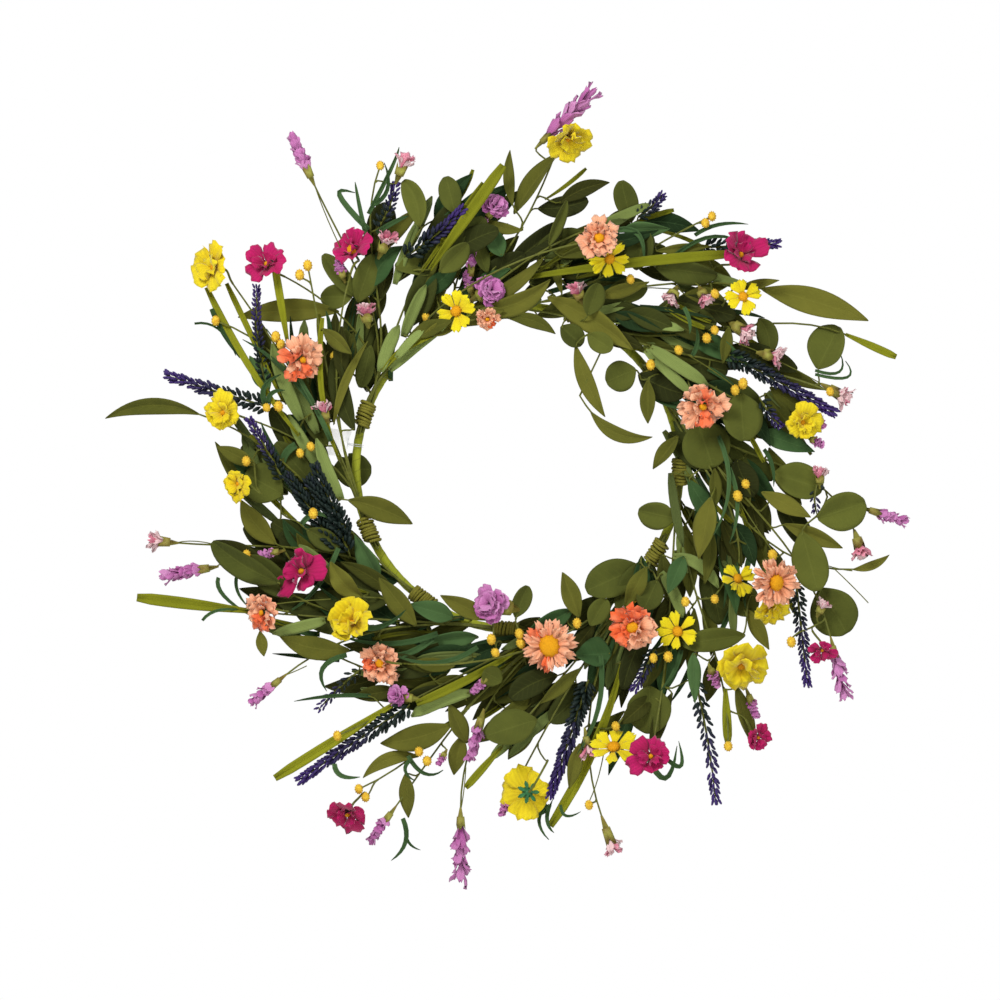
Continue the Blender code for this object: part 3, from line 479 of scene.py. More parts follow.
# %% Berries: where the wire bends towards each, and the berry itself
BERRIES = (
    ((-114, 198), (-103, 226)),
    ((-154, 122), (-163, 144)),
    ((-152, 124), (-157, 151)),
    ((-176, 32), (-188, 45)),
    ((-172, 34), (-179, 46)),
    ((-172, 84), (-181, 98)),
    ((-170, 80), (-177, 92)),
    ((-154, -2), (-163, 11)),
    ((-150, 0), (-155, 16)),
    ((-134, -22), (-146, -12)),
    ((-132, -26), (-142, -18)),
    ((-186, -62), (-211, -69)),
    ((-184, -60), (-203, -65)),
    ((-186, -4), (-203, 5)),
    ((-144, -40), (-153, -34)),
    ((106, 170), (140, 183)),
    ((112, 174), (145, 188)),
    ((126, 124), (141, 127)),
    ((130, 128), (147, 130)),
    ((108, 92), (120, 88)),
    ((126, 98), (141, 97)),
    ((132, 104), (147, 103)),
    ((84, 84), (99, 77)),
    ((146, 72), (162, 58)),
    ((152, 74), (168, 63)),
    ((212, 66), (233, 57)),
    ((158, 4), (170, -12)),
    ((152, 0), (164, -21)),
    ((176, -46), (190, -65)),
    ((-10, -118), (-20, -128)),
    ((-4, -126), (-17, -138)),
    ((12, -116), (1, -124)),
    ((14, -122), (2, -131)),
    ((54, -112), (44, -116)),
    ((94, -88), (86, -97)),
    ((138, -86), (125, -100)),
    ((160, -84), (147, -98)),
    ((110, -132), (101, -142)),
    ((122, -130), (112, -141)),
    ((30, -240), (53, -252)),
    ((158, -186), (157, -208)),
    ((88, -178), (73, -193)),
    ((-62, -204), (-74, -212)),
    ((-60, -208), (-68, -219)),
    ((-112, -190), (-135, -200)),
    ((-96, -230), (-119, -240)),
    ((-94, -234), (-114, -246)),
    ((-58, 106), (-69, 113)),
    ((74, 138), (84, 141)),
    ((210, -96), (204, -130)),
    ((-208, 104), (-226, 110)),
    ((-130, 72), (-138, 84)),
)
print("berries:", len(BERRIES))

# %% Blooms: name, family, centre, radius, facing (x, z), and 1 or -1 for front or back view
HEADS = (
    ("yellow_cosmos_1", "cosmos", (-47, 117), 16, (-0.30, 0.00), 1),
    ("yellow_cosmos_2", "cosmos", (69, 155), 15, (0.30, -0.40), 1),
    ("yellow_cosmos_3", "cosmos", (168, 128), 14, (-0.10, 0.05), 1),
    ("yellow_cosmos_4", "cosmos", (119, -122), 15, (-0.10, 0.10), 1),
    ("yellow_cosmos_5", "cosmos", (71, -207), 18, (-0.10, 0.60), 1),
    ("yellow_cosmos_6", "cosmos", (165, -82), 14, (0.35, 0.40), 1),
    ("ruffled_yellow_9", "ruffled", (190, -106), 13, (0.10, -0.50), 1),
    ("ruffled_yellow_1", "ruffled", (-229, 150), 19, (-0.75, 0.10), 1),
    ("ruffled_yellow_2", "ruffled", (-221, 41), 16, (-0.35, -0.10), 1),
    ("ruffled_yellow_3", "ruffled", (-210, -12), 14, (-0.70, 0.00), 1),
    ("ruffled_yellow_4", "ruffled", (38, 245), 19, (0.45, -0.45), 1),
    ("ruffled_yellow_5", "ruffled", (213, 34), 15, (0.15, 0.00), 1),
    ("ruffled_yellow_6", "ruffled", (167, -149), 24, (0.15, -0.52), 1),
    ("ruffled_yellow_7", "ruffled", (6, -243), 21, (-0.20, -0.10), -1),
    ("ruffled_yellow_8", "ruffled", (-125, -115), 20, (-0.30, 0.30), 1),
    ("magenta_bloom_1", "magenta", (-188, 153), 18, (-0.10, 0.35), 1),
    ("magenta_bloom_2", "magenta", (-125, 164), 19, (-0.35, 0.50), 1),
    ("magenta_bloom_3", "magenta", (167, 160), 21, (0.45, 0.50), 1),
    ("magenta_bloom_4", "magenta", (-163, -77), 22, (-0.55, 0.12), 1),
    ("magenta_bloom_5", "magenta", (99, -215), 17.5, (0.00, 0.10), 1),
    ("magenta_bloom_6", "magenta", (-128, -260), 19, (-0.30, -0.60), 1),
    ("magenta_bloom_7", "magenta", (180, -202), 12, (0.40, -0.30), 1),
    ("magenta_bloom_8", "magenta", (227, -137), 11, (0.00, -0.60), 1),
    ("peach_bloom_1", "peach", (-161, 81), 18, (0.35, -0.30), 1),
    ("peach_bloom_2", "peach", (60, 171), 17, (-0.05, 0.05), 1),
    ("peach_bloom_3", "peach", (138, 46), 20, (-0.10, -0.40), 1),
    ("peach_bloom_4", "peach", (-23, 111), 10, (0.10, -0.40), 1),
    ("peach_bloom_5", "peach", (23, -133), 20, (-0.15, 0.00), 1),
    ("peach_bloom_6", "peach", (86, -119), 20, (-0.20, -0.10), 1),
    ("peach_bloom_7", "peach", (193, -86), 19, (0.35, -0.20), 1),
    ("peach_bloom_8", "peach", (-191, -108), 17, (-0.60, -0.20), 1),
    ("peach_bloom_9", "peach", (-103, -146), 17, (-0.25, -0.10), 1),
)
print("blooms:", len(HEADS))

# %% Wires that show between far blooms and the bunch: start, middle, end
FINE_WIRES = (
    ((-133, 165), (-146, 192), (-153, 214)),
    ((-228, -57), (-244, -53), (-256, -56)),
    ((-158, -148), (-166, -152), (-174, -155)),
    ((236, -75), (250, -88), (262, -101)),
    ((231, -73), (240, -76), (250, -77)),
    ((120, 88), (140, 78), (160, 62)),
    ((160, 95), (200, 80), (245, 52)),
    ((150, 0), (168, -30), (190, -62)),
    ((64, -214), (60, -236), (53, -250)),
    ((-39, -224), (-40, -242), (-43, -257)),
    ((-204, -106), (-180, -100), (-140, -98)),
    ((160, 126), (110, 140), (60, 132)),
)
print("fine wires:", len(FINE_WIRES))

# %% [markdown]
# ## Writing a material as sums
#
# Every finish here is fabric, paper or wire, and each needs some variation over its surface.
# A tiny class wraps one output of the node tree, so that `0.5 + noise * 0.2` builds the Math
# nodes by itself. All other nodes come from one method, `add`.

# %% A wrapped socket and its node tree
class Wire:
    """One output of a material's nodes, which adds Math nodes when it is used in a sum."""

    def __init__(self, paint, socket):
        self.paint = paint
        self.socket = socket

    def sum(self, operation, *terms):
        return self.paint.add("ShaderNodeMath", {"operation": operation}, *enumerate(terms))

    def __add__(self, other):
        return self.sum("ADD", self, other)

    def __radd__(self, other):
        return self.sum("ADD", other, self)

    def __sub__(self, other):
        return self.sum("SUBTRACT", self, other)

    def __rsub__(self, other):
        return self.sum("SUBTRACT", other, self)

    def __mul__(self, other):
        return self.sum("MULTIPLY", self, other)

    def __rmul__(self, other):
        return self.sum("MULTIPLY", other, self)

    def __truediv__(self, other):
        return self.sum("DIVIDE", self, other)

    def __pow__(self, other):
        return self.sum("POWER", self, other)

    def clipped(self, low=0.0, high=1.0):
        return self.sum("MINIMUM", self.sum("MAXIMUM", self, low), high)


class Paint:
    """A new material whose Principled shader and node tree are filled in step by step."""

    def __init__(self, name, sheen=0.0):
        self.material = bpy.data.materials.new(name)
        self.material.use_nodes = True
        self.tree = self.material.node_tree
        self.shader = self.tree.nodes["Principled BSDF"]
        self.shader.inputs["Sheen Weight"].default_value = sheen
        self.shader.inputs["Specular IOR Level"].default_value = 0.25

    def add(self, kind, settings, *inputs, output=0):
        node = self.tree.nodes.new(kind)
        for key, value in settings.items():
            setattr(node, key, value)
        for key, value in inputs:
            self.feed(node.inputs[key], value)
        return Wire(self, node.outputs[output])

    def feed(self, socket, value):
        if isinstance(value, Wire):
            self.tree.links.new(value.socket, socket)
        elif isinstance(value, tuple) and len(value) == 3 and socket.type == "RGBA":
            socket.default_value = (*value, 1)
        else:
            socket.default_value = value

    def mix(self, share, first, second):
        """A colour between two colours."""
        return self.add(
            "ShaderNodeMix", {"data_type": "RGBA"}, (0, share), (6, first), (7, second), output=2
        )

    def noise(self, scale, detail=2.0, stretch=(1, 1, 1)):
        """Cloudy noise from 0 to 1 over the piece, in bumps of about 1 / scale metres."""
        spot = self.add("ShaderNodeTexCoord", {}, output=3)
        spot = self.add("ShaderNodeMapping", {}, (0, spot), (3, stretch))
        return self.add(
            "ShaderNodeTexNoise", {}, ("Vector", spot), ("Scale", scale), ("Detail", detail)
        )

    def across(self):
        """The piece's own map: along it from 0 to 1, and across it from -1 to 1."""
        uv = self.add("ShaderNodeUVMap", {"uv_map": "UVMap"})
        along = self.add("ShaderNodeSeparateXYZ", {}, (0, uv))
        return along, Wire(self, along.socket.node.outputs[1]) * 2 - 1

    def tint(self):
        """The number from 0 to 1 that each copy carries for its own tone; filler leaves also go below 0,
        which paints shade on them.
        """
        return self.add("ShaderNodeAttribute", {"attribute_name": "tint"}, output=2)

    def finish(self, colour, roughness, bump=None, distance=0.0, strength=0.0):
        self.feed(self.shader.inputs["Base Color"], colour)
        self.feed(self.shader.inputs["Roughness"], roughness)
        if bump is not None:
            relief = self.add(
                "ShaderNodeBump", {}, ("Strength", strength), ("Distance", distance), ("Height", bump)
            )
            self.feed(self.shader.inputs["Normal"], relief)
        return self.material


print("nodes are added by Wire and Paint")

# %% [markdown]
# ## Leaf fabric
#
# The leaves are polyester cloth, die-cut, printed and pressed between dies that leave veins. The
# print gives each leaf a soft mottling, the press a lighter midrib with side veins or parallel
# ribs. Each leaf also carries a `tint`, so no two neighbours have the same tone, and a tint below
# zero paints shade on the leaf, darkening it towards a deep colour.

# %% The leaf materials
THREAD_COUNT = 9000  # threads in a metre of cloth


def leaf_finish(name, dark, light, veins):
    """veins is 'side' for a midrib with side veins, 'parallel' for grass-like ribs."""
    paint = Paint(name, sheen=0.04)
    paint.shader.inputs["Specular IOR Level"].default_value = 0.12
    along, across = paint.across()
    off_axis = across.sum("ABSOLUTE", across)
    mottle = paint.noise(55, 3)
    if veins == "side":
        midrib = (1 - off_axis / 0.07).clipped()
        slant = (along * 9 - off_axis * 1.6) * math.tau
        lines = (slant.sum("SINE", slant) * 8 - 6.9).clipped() * (1 - off_axis * 0.8)
        ribs = (midrib + lines * 0.45).clipped()
    else:
        comb = (across * 9 + mottle * 0.6) * math.pi
        ribs = (comb.sum("SINE", comb) * 0.5 + 0.5) ** 2.0
    share = (paint.tint() * 0.75 + mottle * 0.7 - 0.25).clipped()
    # painted shade: a tint below zero mixes the cloth towards `deep`, a darker copy of the dark colour, so
    # leaves far back look shaded
    shaded = (paint.tint() * 2.2 + 1.0).clipped(0.15, 1.0)
    deep = tuple(channel * 0.34 for channel in dark)
    cloth = paint.mix(shaded, deep, paint.mix(share, dark, light))
    pale = tuple(min(1, channel * 1.5 + 0.01) for channel in light)
    colour = paint.mix(ribs * 0.18, cloth, pale)
    thread = paint.noise(THREAD_COUNT, 1)
    bump = ribs * 0.5 + thread * 0.02 + mottle * 0.3
    return paint.finish(colour, 0.74 + thread * 0.18, bump, 0.0005, 0.6)


leaf_materials = {
    "round": leaf_finish("eucalyptus_cloth", (0.052, 0.062, 0.010), (0.116, 0.130, 0.020), "side"),
    "willow": leaf_finish("willow_cloth", (0.068, 0.074, 0.009), (0.155, 0.150, 0.020), "side"),
    "dark": leaf_finish("camellia_cloth", (0.030, 0.072, 0.020), (0.085, 0.160, 0.050), "side"),
    "blade": leaf_finish("grass_cloth", (0.135, 0.175, 0.042), (0.245, 0.315, 0.085), "parallel"),
    "strap": leaf_finish("reed_cloth", (0.150, 0.160, 0.006), (0.260, 0.270, 0.012), "parallel"),
    "tuft": leaf_finish("sedge_cloth", (0.028, 0.065, 0.018), (0.070, 0.140, 0.045), "parallel"),
}
print("leaf materials:", sorted(leaf_materials))

# %% [markdown]
# ## Petal fabric
#
# Petals are cut from thinner cloth and dyed by dipping, so the colour pools towards the base or
# the edge. Fine pressed pleats run from base to edge, and the colour darkens along them, painted
# shade in their folds. A second colour, chosen by the tint, gives the flowers whose single petals
# are redder than their neighbours.

# %% The petal materials
PLEATS = 7  # in half a petal's width


def petal_finish(name, base, edge, second):
    paint = Paint(name, sheen=0.25)
    along, across = paint.across()
    mottle = paint.noise(140, 3)
    comb = (across * PLEATS + mottle * 1.2) * math.pi
    pleat = comb.sum("SINE", comb) * 0.5 + 0.5
    share = (along * 1.2 - 0.1 + (mottle - 0.5) * 0.35).clipped()
    plain = paint.mix(share, base, edge)
    chosen = (paint.tint() * (0.5 + mottle)).clipped()
    dyed = paint.mix(chosen, plain, second)
    # painted shade: the pleats darken the dye towards `deep`, a darker copy of the base colour
    deep = tuple(channel * 0.72 for channel in base)
    colour = paint.mix(pleat * 0.22, dyed, deep)
    thread = paint.noise(8000, 1)
    return paint.finish(colour, 0.66 + thread * 0.2, pleat * 0.6 + thread * 0.03, 0.0004, 0.5)


petal_materials = {
    "cosmos": petal_finish("cosmos_cloth", (0.73, 0.53, 0.0), (0.84, 0.73, 0.003), (0.82, 0.68, 0.0)),
    "ruffled": petal_finish("poppy_cloth", (0.64, 0.42, 0.0), (0.80, 0.62, 0.002), (0.84, 0.71, 0.015)),
    "magenta": petal_finish(
        "magenta_cloth", (0.258, 0.0, 0.039), (0.482, 0.001, 0.099), (0.568, 0.003, 0.146)
    ),
    "peach": petal_finish("peach_cloth", (0.88, 0.32, 0.13), (0.92, 0.50, 0.31), (0.90, 0.12, 0.022)),
    "lilac": petal_finish("lilac_cloth", (0.36, 0.065, 0.27), (0.54, 0.155, 0.42), (0.66, 0.28, 0.55)),
    "pink": petal_finish("pink_cloth", (0.58, 0.06, 0.14), (0.82, 0.30, 0.40), (0.90, 0.66, 0.66)),
}
print("petal materials:", sorted(petal_materials))

# %% [markdown]
# ## Small parts
#
# Buttons and berries are foam rolled in coloured pollen flock, buds are dipped plastic, stems are
# wire in a moulded sleeve, and the bindings are wire wrapped in crepe paper. Each has its own
# grain, made from noise at the size of the real one. The grain's low spots are darker, partly
# their own tone and partly painted shade in the hollows.

# %% Flock, plastic, paper, tape, steel and card
def grain_finish(name, dark, light, scale, roughness, depth):
    """scale is how many grains stand in a metre, depth how far they stand out."""
    paint = Paint(name)
    grain = paint.noise(scale, 3)
    # darker where the grain is low: partly the grain's own tone, partly painted shade in its hollows
    share = (grain * 1.8 - 0.4).clipped()
    colour = paint.mix(share, dark, light)
    return paint.finish(colour, roughness - 0.1 + grain * 0.2, grain, depth, 0.8)


def bud_finish(name, foot, tip):
    """Buds go from one colour at the foot of the spike to another at its tip, by their tint."""
    paint = Paint(name)
    mottle = paint.noise(900)
    colour = paint.mix((paint.tint() * 1.5 - 0.35 + (mottle - 0.5) * 0.5).clipped(), foot, tip)
    return paint.finish(colour, 0.40 + mottle * 0.3, mottle, 0.0002, 0.5)


small_materials = {
    "button": grain_finish("button_flock", (0.62, 0.22, 0.0), (0.90, 0.46, 0.01), 1500, 0.85, 0.0006),
    "berry": grain_finish("berry_flock", (0.60, 0.26, 0.01), (1.0, 0.74, 0.07), 620, 0.85, 0.0012),
    "bud": bud_finish("bud_plastic", (0.008, 0.018, 0.014), (0.045, 0.020, 0.140)),
    "stem": grain_finish("stem_sleeve", (0.075, 0.085, 0.012), (0.16, 0.17, 0.022), 300, 0.60, 0.0003),
    "calyx": grain_finish("calyx_plastic", (0.20, 0.12, 0.03), (0.34, 0.36, 0.06), 160, 0.55, 0.0003),
    "leafy": grain_finish("sepal_plastic", (0.020, 0.090, 0.030), (0.04, 0.22, 0.07), 300, 0.50, 0.0003),
    "paper": grain_finish("binding_paper", (0.110, 0.100, 0.012), (0.25, 0.230, 0.025), 1200, 0.85, 0.0005),
    "steel": grain_finish("core_steel", (0.30, 0.31, 0.32), (0.45, 0.46, 0.47), 900, 0.35, 0.0001),
    "card": grain_finish("tag_card", (0.93, 0.93, 0.93), (0.98, 0.98, 0.98), 700, 0.55, 0.0001),
    "thread": grain_finish("tag_line", (0.62, 0.66, 0.70), (0.80, 0.83, 0.86), 500, 0.20, 0.0001),
}
card_shader = small_materials["card"].node_tree.nodes["Principled BSDF"]
card_shader.inputs["Emission Color"].default_value = (1, 1, 1, 1)
card_shader.inputs["Emission Strength"].default_value = 0.45  # painted light: the card glows a little so that it stays white where leaves shade it
small_materials["steel"].node_tree.nodes["Principled BSDF"].inputs["Metallic"].default_value = 1
print("small materials:", sorted(small_materials))

# %% [markdown]
# ## Floral tape
#
# Florist's tape is waxed crepe paper, stretched as it is wound, so its laps run round the hoop in
# a steep spiral and its crepe shows as fine wrinkles across the lap. The tape's map runs round the
# hoop and round the wire, and a slanted saw of both draws the laps. A dark band at the foot of
# each lap is painted shade under the lap above.

# %% The tape's material
TAPE_LAPS = 90


def tape_finish():
    paint = Paint("floral_tape")
    uv = paint.add("ShaderNodeUVMap", {"uv_map": "UVMap"})
    round_hoop = paint.add("ShaderNodeSeparateXYZ", {}, (0, uv))
    round_wire = Wire(paint, round_hoop.socket.node.outputs[1])
    saw = round_hoop.sum("FRACT", round_hoop * TAPE_LAPS + round_wire)
    crepe = paint.noise(2500, stretch=(1, 3, 1))
    worn = paint.noise(90, 3)
    cloth = paint.mix((worn * 1.6 - 0.3).clipped(), (0.22, 0.25, 0.010), (0.38, 0.41, 0.022))
    # painted shade: a dark band at the foot of each lap, where the lap above overhangs it
    edge = (1 - saw / 0.12).clipped()
    colour = paint.mix(edge * 0.55, cloth, (0.060, 0.075, 0.008))
    return paint.finish(colour, 0.5 + crepe * 0.25, saw * 0.8 + crepe * 0.3, 0.0006, 0.7)


small_materials["tape"] = tape_finish()
print("laps of tape:", TAPE_LAPS)

# %% [markdown]
# ## Modelling by hand, in code
#
# Loading the frame leaves its objects selected, and an operator acts on all that is selected. So
# every step starts by deselecting everything and then picks its vertices by where they are.

# %% Selecting and copying helpers
def fresh(add, **settings):
    """A new primitive, with nothing else selected."""
    bpy.ops.object.select_all(action="DESELECT")
    add(**settings)
    return bpy.context.object


def apply_new(obj, kind, **settings):
    """Add a modifier to obj, which is the active object, set it and apply it."""
    bpy.ops.object.modifier_add(type=kind)
    modifier = obj.modifiers[-1]
    for key, value in settings.items():
        setattr(modifier, key, value)
    bpy.ops.object.modifier_apply(modifier=modifier.name)


def choose(obj, wanted):
    """Enter edit mode on one object, with only the wanted vertices selected."""
    if bpy.context.mode != "OBJECT":
        bpy.ops.object.mode_set(mode="OBJECT")
    bpy.ops.object.select_all(action="DESELECT")
    obj.select_set(True)
    bpy.context.view_layer.objects.active = obj
    bpy.ops.object.mode_set(mode="EDIT")
    bpy.ops.mesh.select_mode(type="VERT")
    bpy.ops.mesh.select_all(action="DESELECT")
    bpy.ops.object.mode_set(mode="OBJECT")
    for vert in obj.data.vertices:
        vert.select = wanted(vert.co)
    bpy.ops.object.mode_set(mode="EDIT")


def done(name, thickness=0.0):
    """Leave edit mode, give a sheet its thickness, and keep the object as a pattern."""
    bpy.ops.object.mode_set(mode="OBJECT")
    pattern = bpy.context.object
    if thickness:
        apply_new(pattern, "SOLIDIFY", thickness=thickness, offset=0)
    bpy.ops.object.shade_smooth()
    pattern.data.attributes.new("tint", "FLOAT", "POINT")
    pattern.name = name
    patterns.append(pattern)
    return pattern


def spots_of(pattern):
    """The pattern's vertices as rows of x, y and z."""
    spots = np.empty(len(pattern.data.vertices) * 3, np.float32)
    pattern.data.vertices.foreach_get("co", spots)
    return spots.reshape(-1, 3).astype(float)


def copy_of(pattern, spots, tint=0.5):
    """A copy of a pattern with its own mesh, its vertices moved to these spots."""
    mesh = pattern.data.copy()
    mesh.vertices.foreach_set("co", (spots + np.array(CENTRE)).astype(np.float32).ravel())
    shade = np.full(len(spots), tint, np.float32) if np.isscalar(tint) else tint
    mesh.attributes["tint"].data.foreach_set("value", shade.astype(np.float32))
    mesh.update()
    piece = bpy.data.objects.new(pattern.name, mesh)
    bpy.context.scene.collection.objects.link(piece)
    return piece


def join(name, pieces, material, node, body="wreath"):
    """Join copies into one finished piece that stands for a CAD node."""
    bpy.ops.object.select_all(action="DESELECT")
    for piece in pieces:
        piece.select_set(True)
    bpy.context.view_layer.objects.active = pieces[0]
    if len(pieces) > 1:
        bpy.ops.object.join()
    made = bpy.context.object
    made.name = name
    made.data.name = name
    made.data.materials.clear()
    made.data.materials.append(material)
    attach(made, body)
    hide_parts(node)
    return made


NEAR = 1e-5  # points this close to a place count as standing on it
patterns = []
print("helpers ready")

# %% [markdown]
# ## The taped hoop
#
# The tape is one long strip wound in a spiral, each lap half over the last. A torus gives the
# hoop. Its points are then pushed out in a slanted saw, which makes real laps that catch the
# light, and the finer crepe is left to the material.

# %% Tape wound round the hoop
hoop = fresh(
    bpy.ops.mesh.primitive_torus_add,
    major_radius=RING_RADIUS,
    minor_radius=TAPE_RADIUS - 0.25 * MM,
    major_segments=720,
    minor_segments=14,
    location=CENTRE,
    rotation=(math.pi / 2, 0, 0),
)
bpy.ops.object.transform_apply(location=True, rotation=True, scale=True)
hoop_spots = spots_of(hoop) - np.array(CENTRE)
hoop_clock = np.arctan2(hoop_spots[:, 0], hoop_spots[:, 2])
hoop_axis = np.stack([np.sin(hoop_clock), 0 * hoop_clock, np.cos(hoop_clock)], 1) * RING_RADIUS
hoop_round = hoop_spots - hoop_axis
hoop_turn = np.arctan2(hoop_round[:, 1], np.einsum("ij,ij->i", hoop_round, hoop_axis))
lap = (hoop_clock * TAPE_LAPS + hoop_turn) / math.tau % 1
wobble = 0.12 * np.sin(hoop_clock * 37) + 0.10 * np.sin(hoop_clock * 11 + 1)
hoop_spots = hoop_axis + hoop_round * (0.97 + 0.10 * lap + 0.03 * wobble)[:, None]
hoop.data.vertices.foreach_set("co", (hoop_spots + np.array(CENTRE)).astype(np.float32).ravel())
hoop.data.update()
bpy.ops.object.shade_smooth()
join("hoop_tape_wound", [hoop], small_materials["tape"], "hoop_tape")
frame["nodes"]["hoop_wire"].data.materials.clear()
frame["nodes"]["hoop_wire"].data.materials.append(small_materials["steel"])
print("hoop faces:", len(hoop.data.polygons))

# %% [markdown]
# ## Wires and stems as curves
#
# A bevelled curve is the natural way to make wire: its points are the centre line, and each point
# may have its own thickness. All wires of one bunch are splines of one curve, which is turned
# into a mesh when the bunch is complete.

# %% One object from many wires
def wires(name, runs, material, node, sides=1, body="wreath"):
    """runs is a list of (points, radii), the points from the hoop's centre."""
    curve = bpy.data.curves.new(name, "CURVE")
    curve.dimensions = "3D"
    curve.bevel_depth = 1.0
    curve.bevel_resolution = sides
    curve.use_fill_caps = True
    for points, radii in runs:
        spline = curve.splines.new("POLY")
        spline.points.add(len(points) - 1)
        for knot, point, radius in zip(spline.points, points, radii):
            knot.co = (*(point + CENTRE), 1)
            knot.radius = radius
    wire = bpy.data.objects.new(name, curve)
    bpy.context.scene.collection.objects.link(wire)
    bpy.ops.object.select_all(action="DESELECT")
    wire.select_set(True)
    bpy.context.view_layer.objects.active = wire
    bpy.ops.object.convert(target="MESH")
    made = bpy.context.object
    bpy.ops.object.mode_set(mode="EDIT")
    bpy.ops.mesh.select_all(action="SELECT")
    bpy.ops.mesh.remove_doubles(threshold=NEAR)
    bpy.ops.mesh.normals_make_consistent(inside=False)
    bpy.ops.object.mode_set(mode="OBJECT")
    bpy.ops.object.shade_smooth_by_angle(angle=math.radians(60))
    return join(name, [made], material, node, body)


def bend(start, start_heading, end, end_heading, count, pull=0.36):
    """Points on a smooth curve between two ends with set directions."""
    reach = (end - start).length * pull
    first = start + start_heading.normalized() * reach
    last = end - end_heading.normalized() * reach
    points = []
    for step in range(count + 1):
        t = step / count
        near = start * (1 - t) ** 3 + first * 3 * t * (1 - t) ** 2
        points.append(near + last * 3 * t * t * (1 - t) + end * t**3)
    return points


# %% [markdown]
# ## Bindings
#
# Each bunch is tied with paper-covered wire, wound seven or eight times round the hoop and the
# stems together. The turns slant, crowd and cross a little, as hand winding does. Round two
# circles, a taut wire follows one circle, a straight run, the other circle and a straight run.

# %% Binding wire round the hoop and each bunch
PAPER_WIRE = 1.15 * MM


def binding_run(bunch, rng):
    clock = math.radians(BUNCH_ANGLES[bunch])
    out, on, front = outward_at(clock), onward_at(clock), Vector((0, -1, 0))
    turns = 7 + bunch % 2
    points = []
    for step in range(turns * 18 + 6):
        turn = step / 18
        angle = math.tau * turn + 1.2
        drift = (turn / turns - 0.5) * 17 * MM + 0.5 * MM * math.sin(turn * 5 + bunch)
        slant = 1.3 * MM * math.sin(angle + 0.6)
        forward = math.sin(angle)
        share = min(max(forward * 4 + 0.5, 0), 1)
        radius = (TAPE_RADIUS + 0.5 * MM) * (1 - share) + (BUNDLE_RADIUS + 0.2 * MM) * share
        radius += PAPER_WIRE + 0.25 * MM * math.sin(turn * 3.1 + bunch * 2)
        point = out * (RING_RADIUS + radius * math.cos(angle)) + on * (drift + slant)
        points.append(point + front * (BUNDLE_DEPTH * share + radius * forward))
    return points, [PAPER_WIRE * rng.uniform(0.94, 1.06) for _ in points]


rng = random.Random(5)
for bunch in range(len(BUNCH_ANGLES)):
    wires(
        f"binding_{bunch + 1:02d}_wire",
        [binding_run(bunch, rng)],
        small_materials["paper"],
        f"binding_{bunch + 1:02d}",
        2,
    )
print("bindings wound:", len(BUNCH_ANGLES))

# %% [markdown]
# ## A leaf from a grid
#
# A die-cut leaf starts as a flat grid. Its middle row is pressed down to a midrib, the rows beside
# it swell a little, and each column is narrowed until the edge follows the leaf's outline. The
# grid's own map, from 0 to 1 along and across, stays on it and tells the material where the veins
# run. One pattern is made for each kind of leaf.

# %% Leaf patterns
LEAF_LENGTH = 40 * MM
LEAF_WIDTH = 16 * MM
CLOTH = 0.3 * MM  # thick
OUTLINES = {  # half width in even steps from base to tip
    "round": (0.10, 0.52, 0.80, 0.95, 1.00, 0.98, 0.90, 0.72, 0.26),
    "willow": (0.10, 0.46, 0.78, 0.96, 1.00, 0.92, 0.72, 0.42, 0.05),
    "dark": (0.08, 0.62, 0.92, 1.00, 0.95, 0.82, 0.62, 0.34, 0.03),
    "blade": (0.50, 0.80, 0.95, 1.00, 1.00, 1.00, 0.94, 0.72, 0.15),
    "strap": (0.40, 0.55, 0.70, 0.85, 0.95, 1.00, 1.00, 0.95, 0.65),
    "tuft": (0.90, 1.00, 1.00, 0.95, 0.90, 0.80, 0.66, 0.44, 0.10),
}
CREASES = {"round": 0.5, "willow": 0.7, "dark": 0.7, "blade": 0.5, "strap": 1.1, "tuft": 0.4}


def leaf_pattern(kind):
    outline = OUTLINES[kind]
    columns = len(outline) - 1
    leaf = fresh(
        bpy.ops.mesh.primitive_grid_add, x_subdivisions=columns, y_subdivisions=4, size=LEAF_LENGTH
    )
    choose(leaf, lambda co: True)
    bpy.ops.transform.resize(value=(1, LEAF_WIDTH / LEAF_LENGTH, 1), center_override=(0, 0, 0))
    bpy.ops.transform.translate(value=(LEAF_LENGTH / 2, 0, 0))
    choose(leaf, lambda co: abs(co.y) < NEAR)
    bpy.ops.transform.translate(value=(0, 0, -CREASES[kind] * MM))
    choose(leaf, lambda co: abs(abs(co.y) - LEAF_WIDTH / 4) < NEAR)
    bpy.ops.transform.translate(value=(0, 0, CREASES[kind] * 0.35 * MM))
    for step, share in enumerate(outline):
        column = LEAF_LENGTH * step / columns
        choose(leaf, lambda co, column=column: abs(co.x - column) < NEAR)
        bpy.ops.transform.resize(value=(1, share, 1), center_override=(0, 0, 0))
    if kind in ("round", "willow", "dark"):
        bpy.ops.object.mode_set(mode="OBJECT")
        apply_new(leaf, "SUBSURF", levels=1)
    return done(kind, CLOTH)


leaf_patterns = {kind: leaf_pattern(kind) for kind in OUTLINES}
leaf_spots = {kind: spots_of(pattern) for kind, pattern in leaf_patterns.items()}
print("faces in a leaf:", len(leaf_patterns["round"].data.polygons))

# %% [markdown]
# ## Laying a leaf on its bunch
#
# Laying bends a copy of the pattern along a curve through the leaf's base, middle and tip, gives
# it its width, rolls, folds and curls it, and sets it on its bunch's rising sheet. This is done
# to all points at once with numpy.

# %% Keep a point behind the blooms
bloom_discs = []
for name, _, spot, radius, _, front in HEADS:
    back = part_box(name)[1].y + (1.5 if front > 0 else 7) * MM
    bloom_discs.append((spot[0] * MM, spot[1] * MM, radius * MM, back))


def behind_blooms(x, y, z):
    """Depths y moved back, smoothly, wherever x and z lie over a bloom."""
    for centre_x, centre_z, radius, back in bloom_discs:
        away = np.hypot(x - centre_x, z - centre_z) / radius
        near = np.clip((1.55 - away) / 0.5, 0, 1)  # wholly back at 1.05 radii, not at all at 1.55
        y = y + np.maximum(back - y, 0) * near
    return y


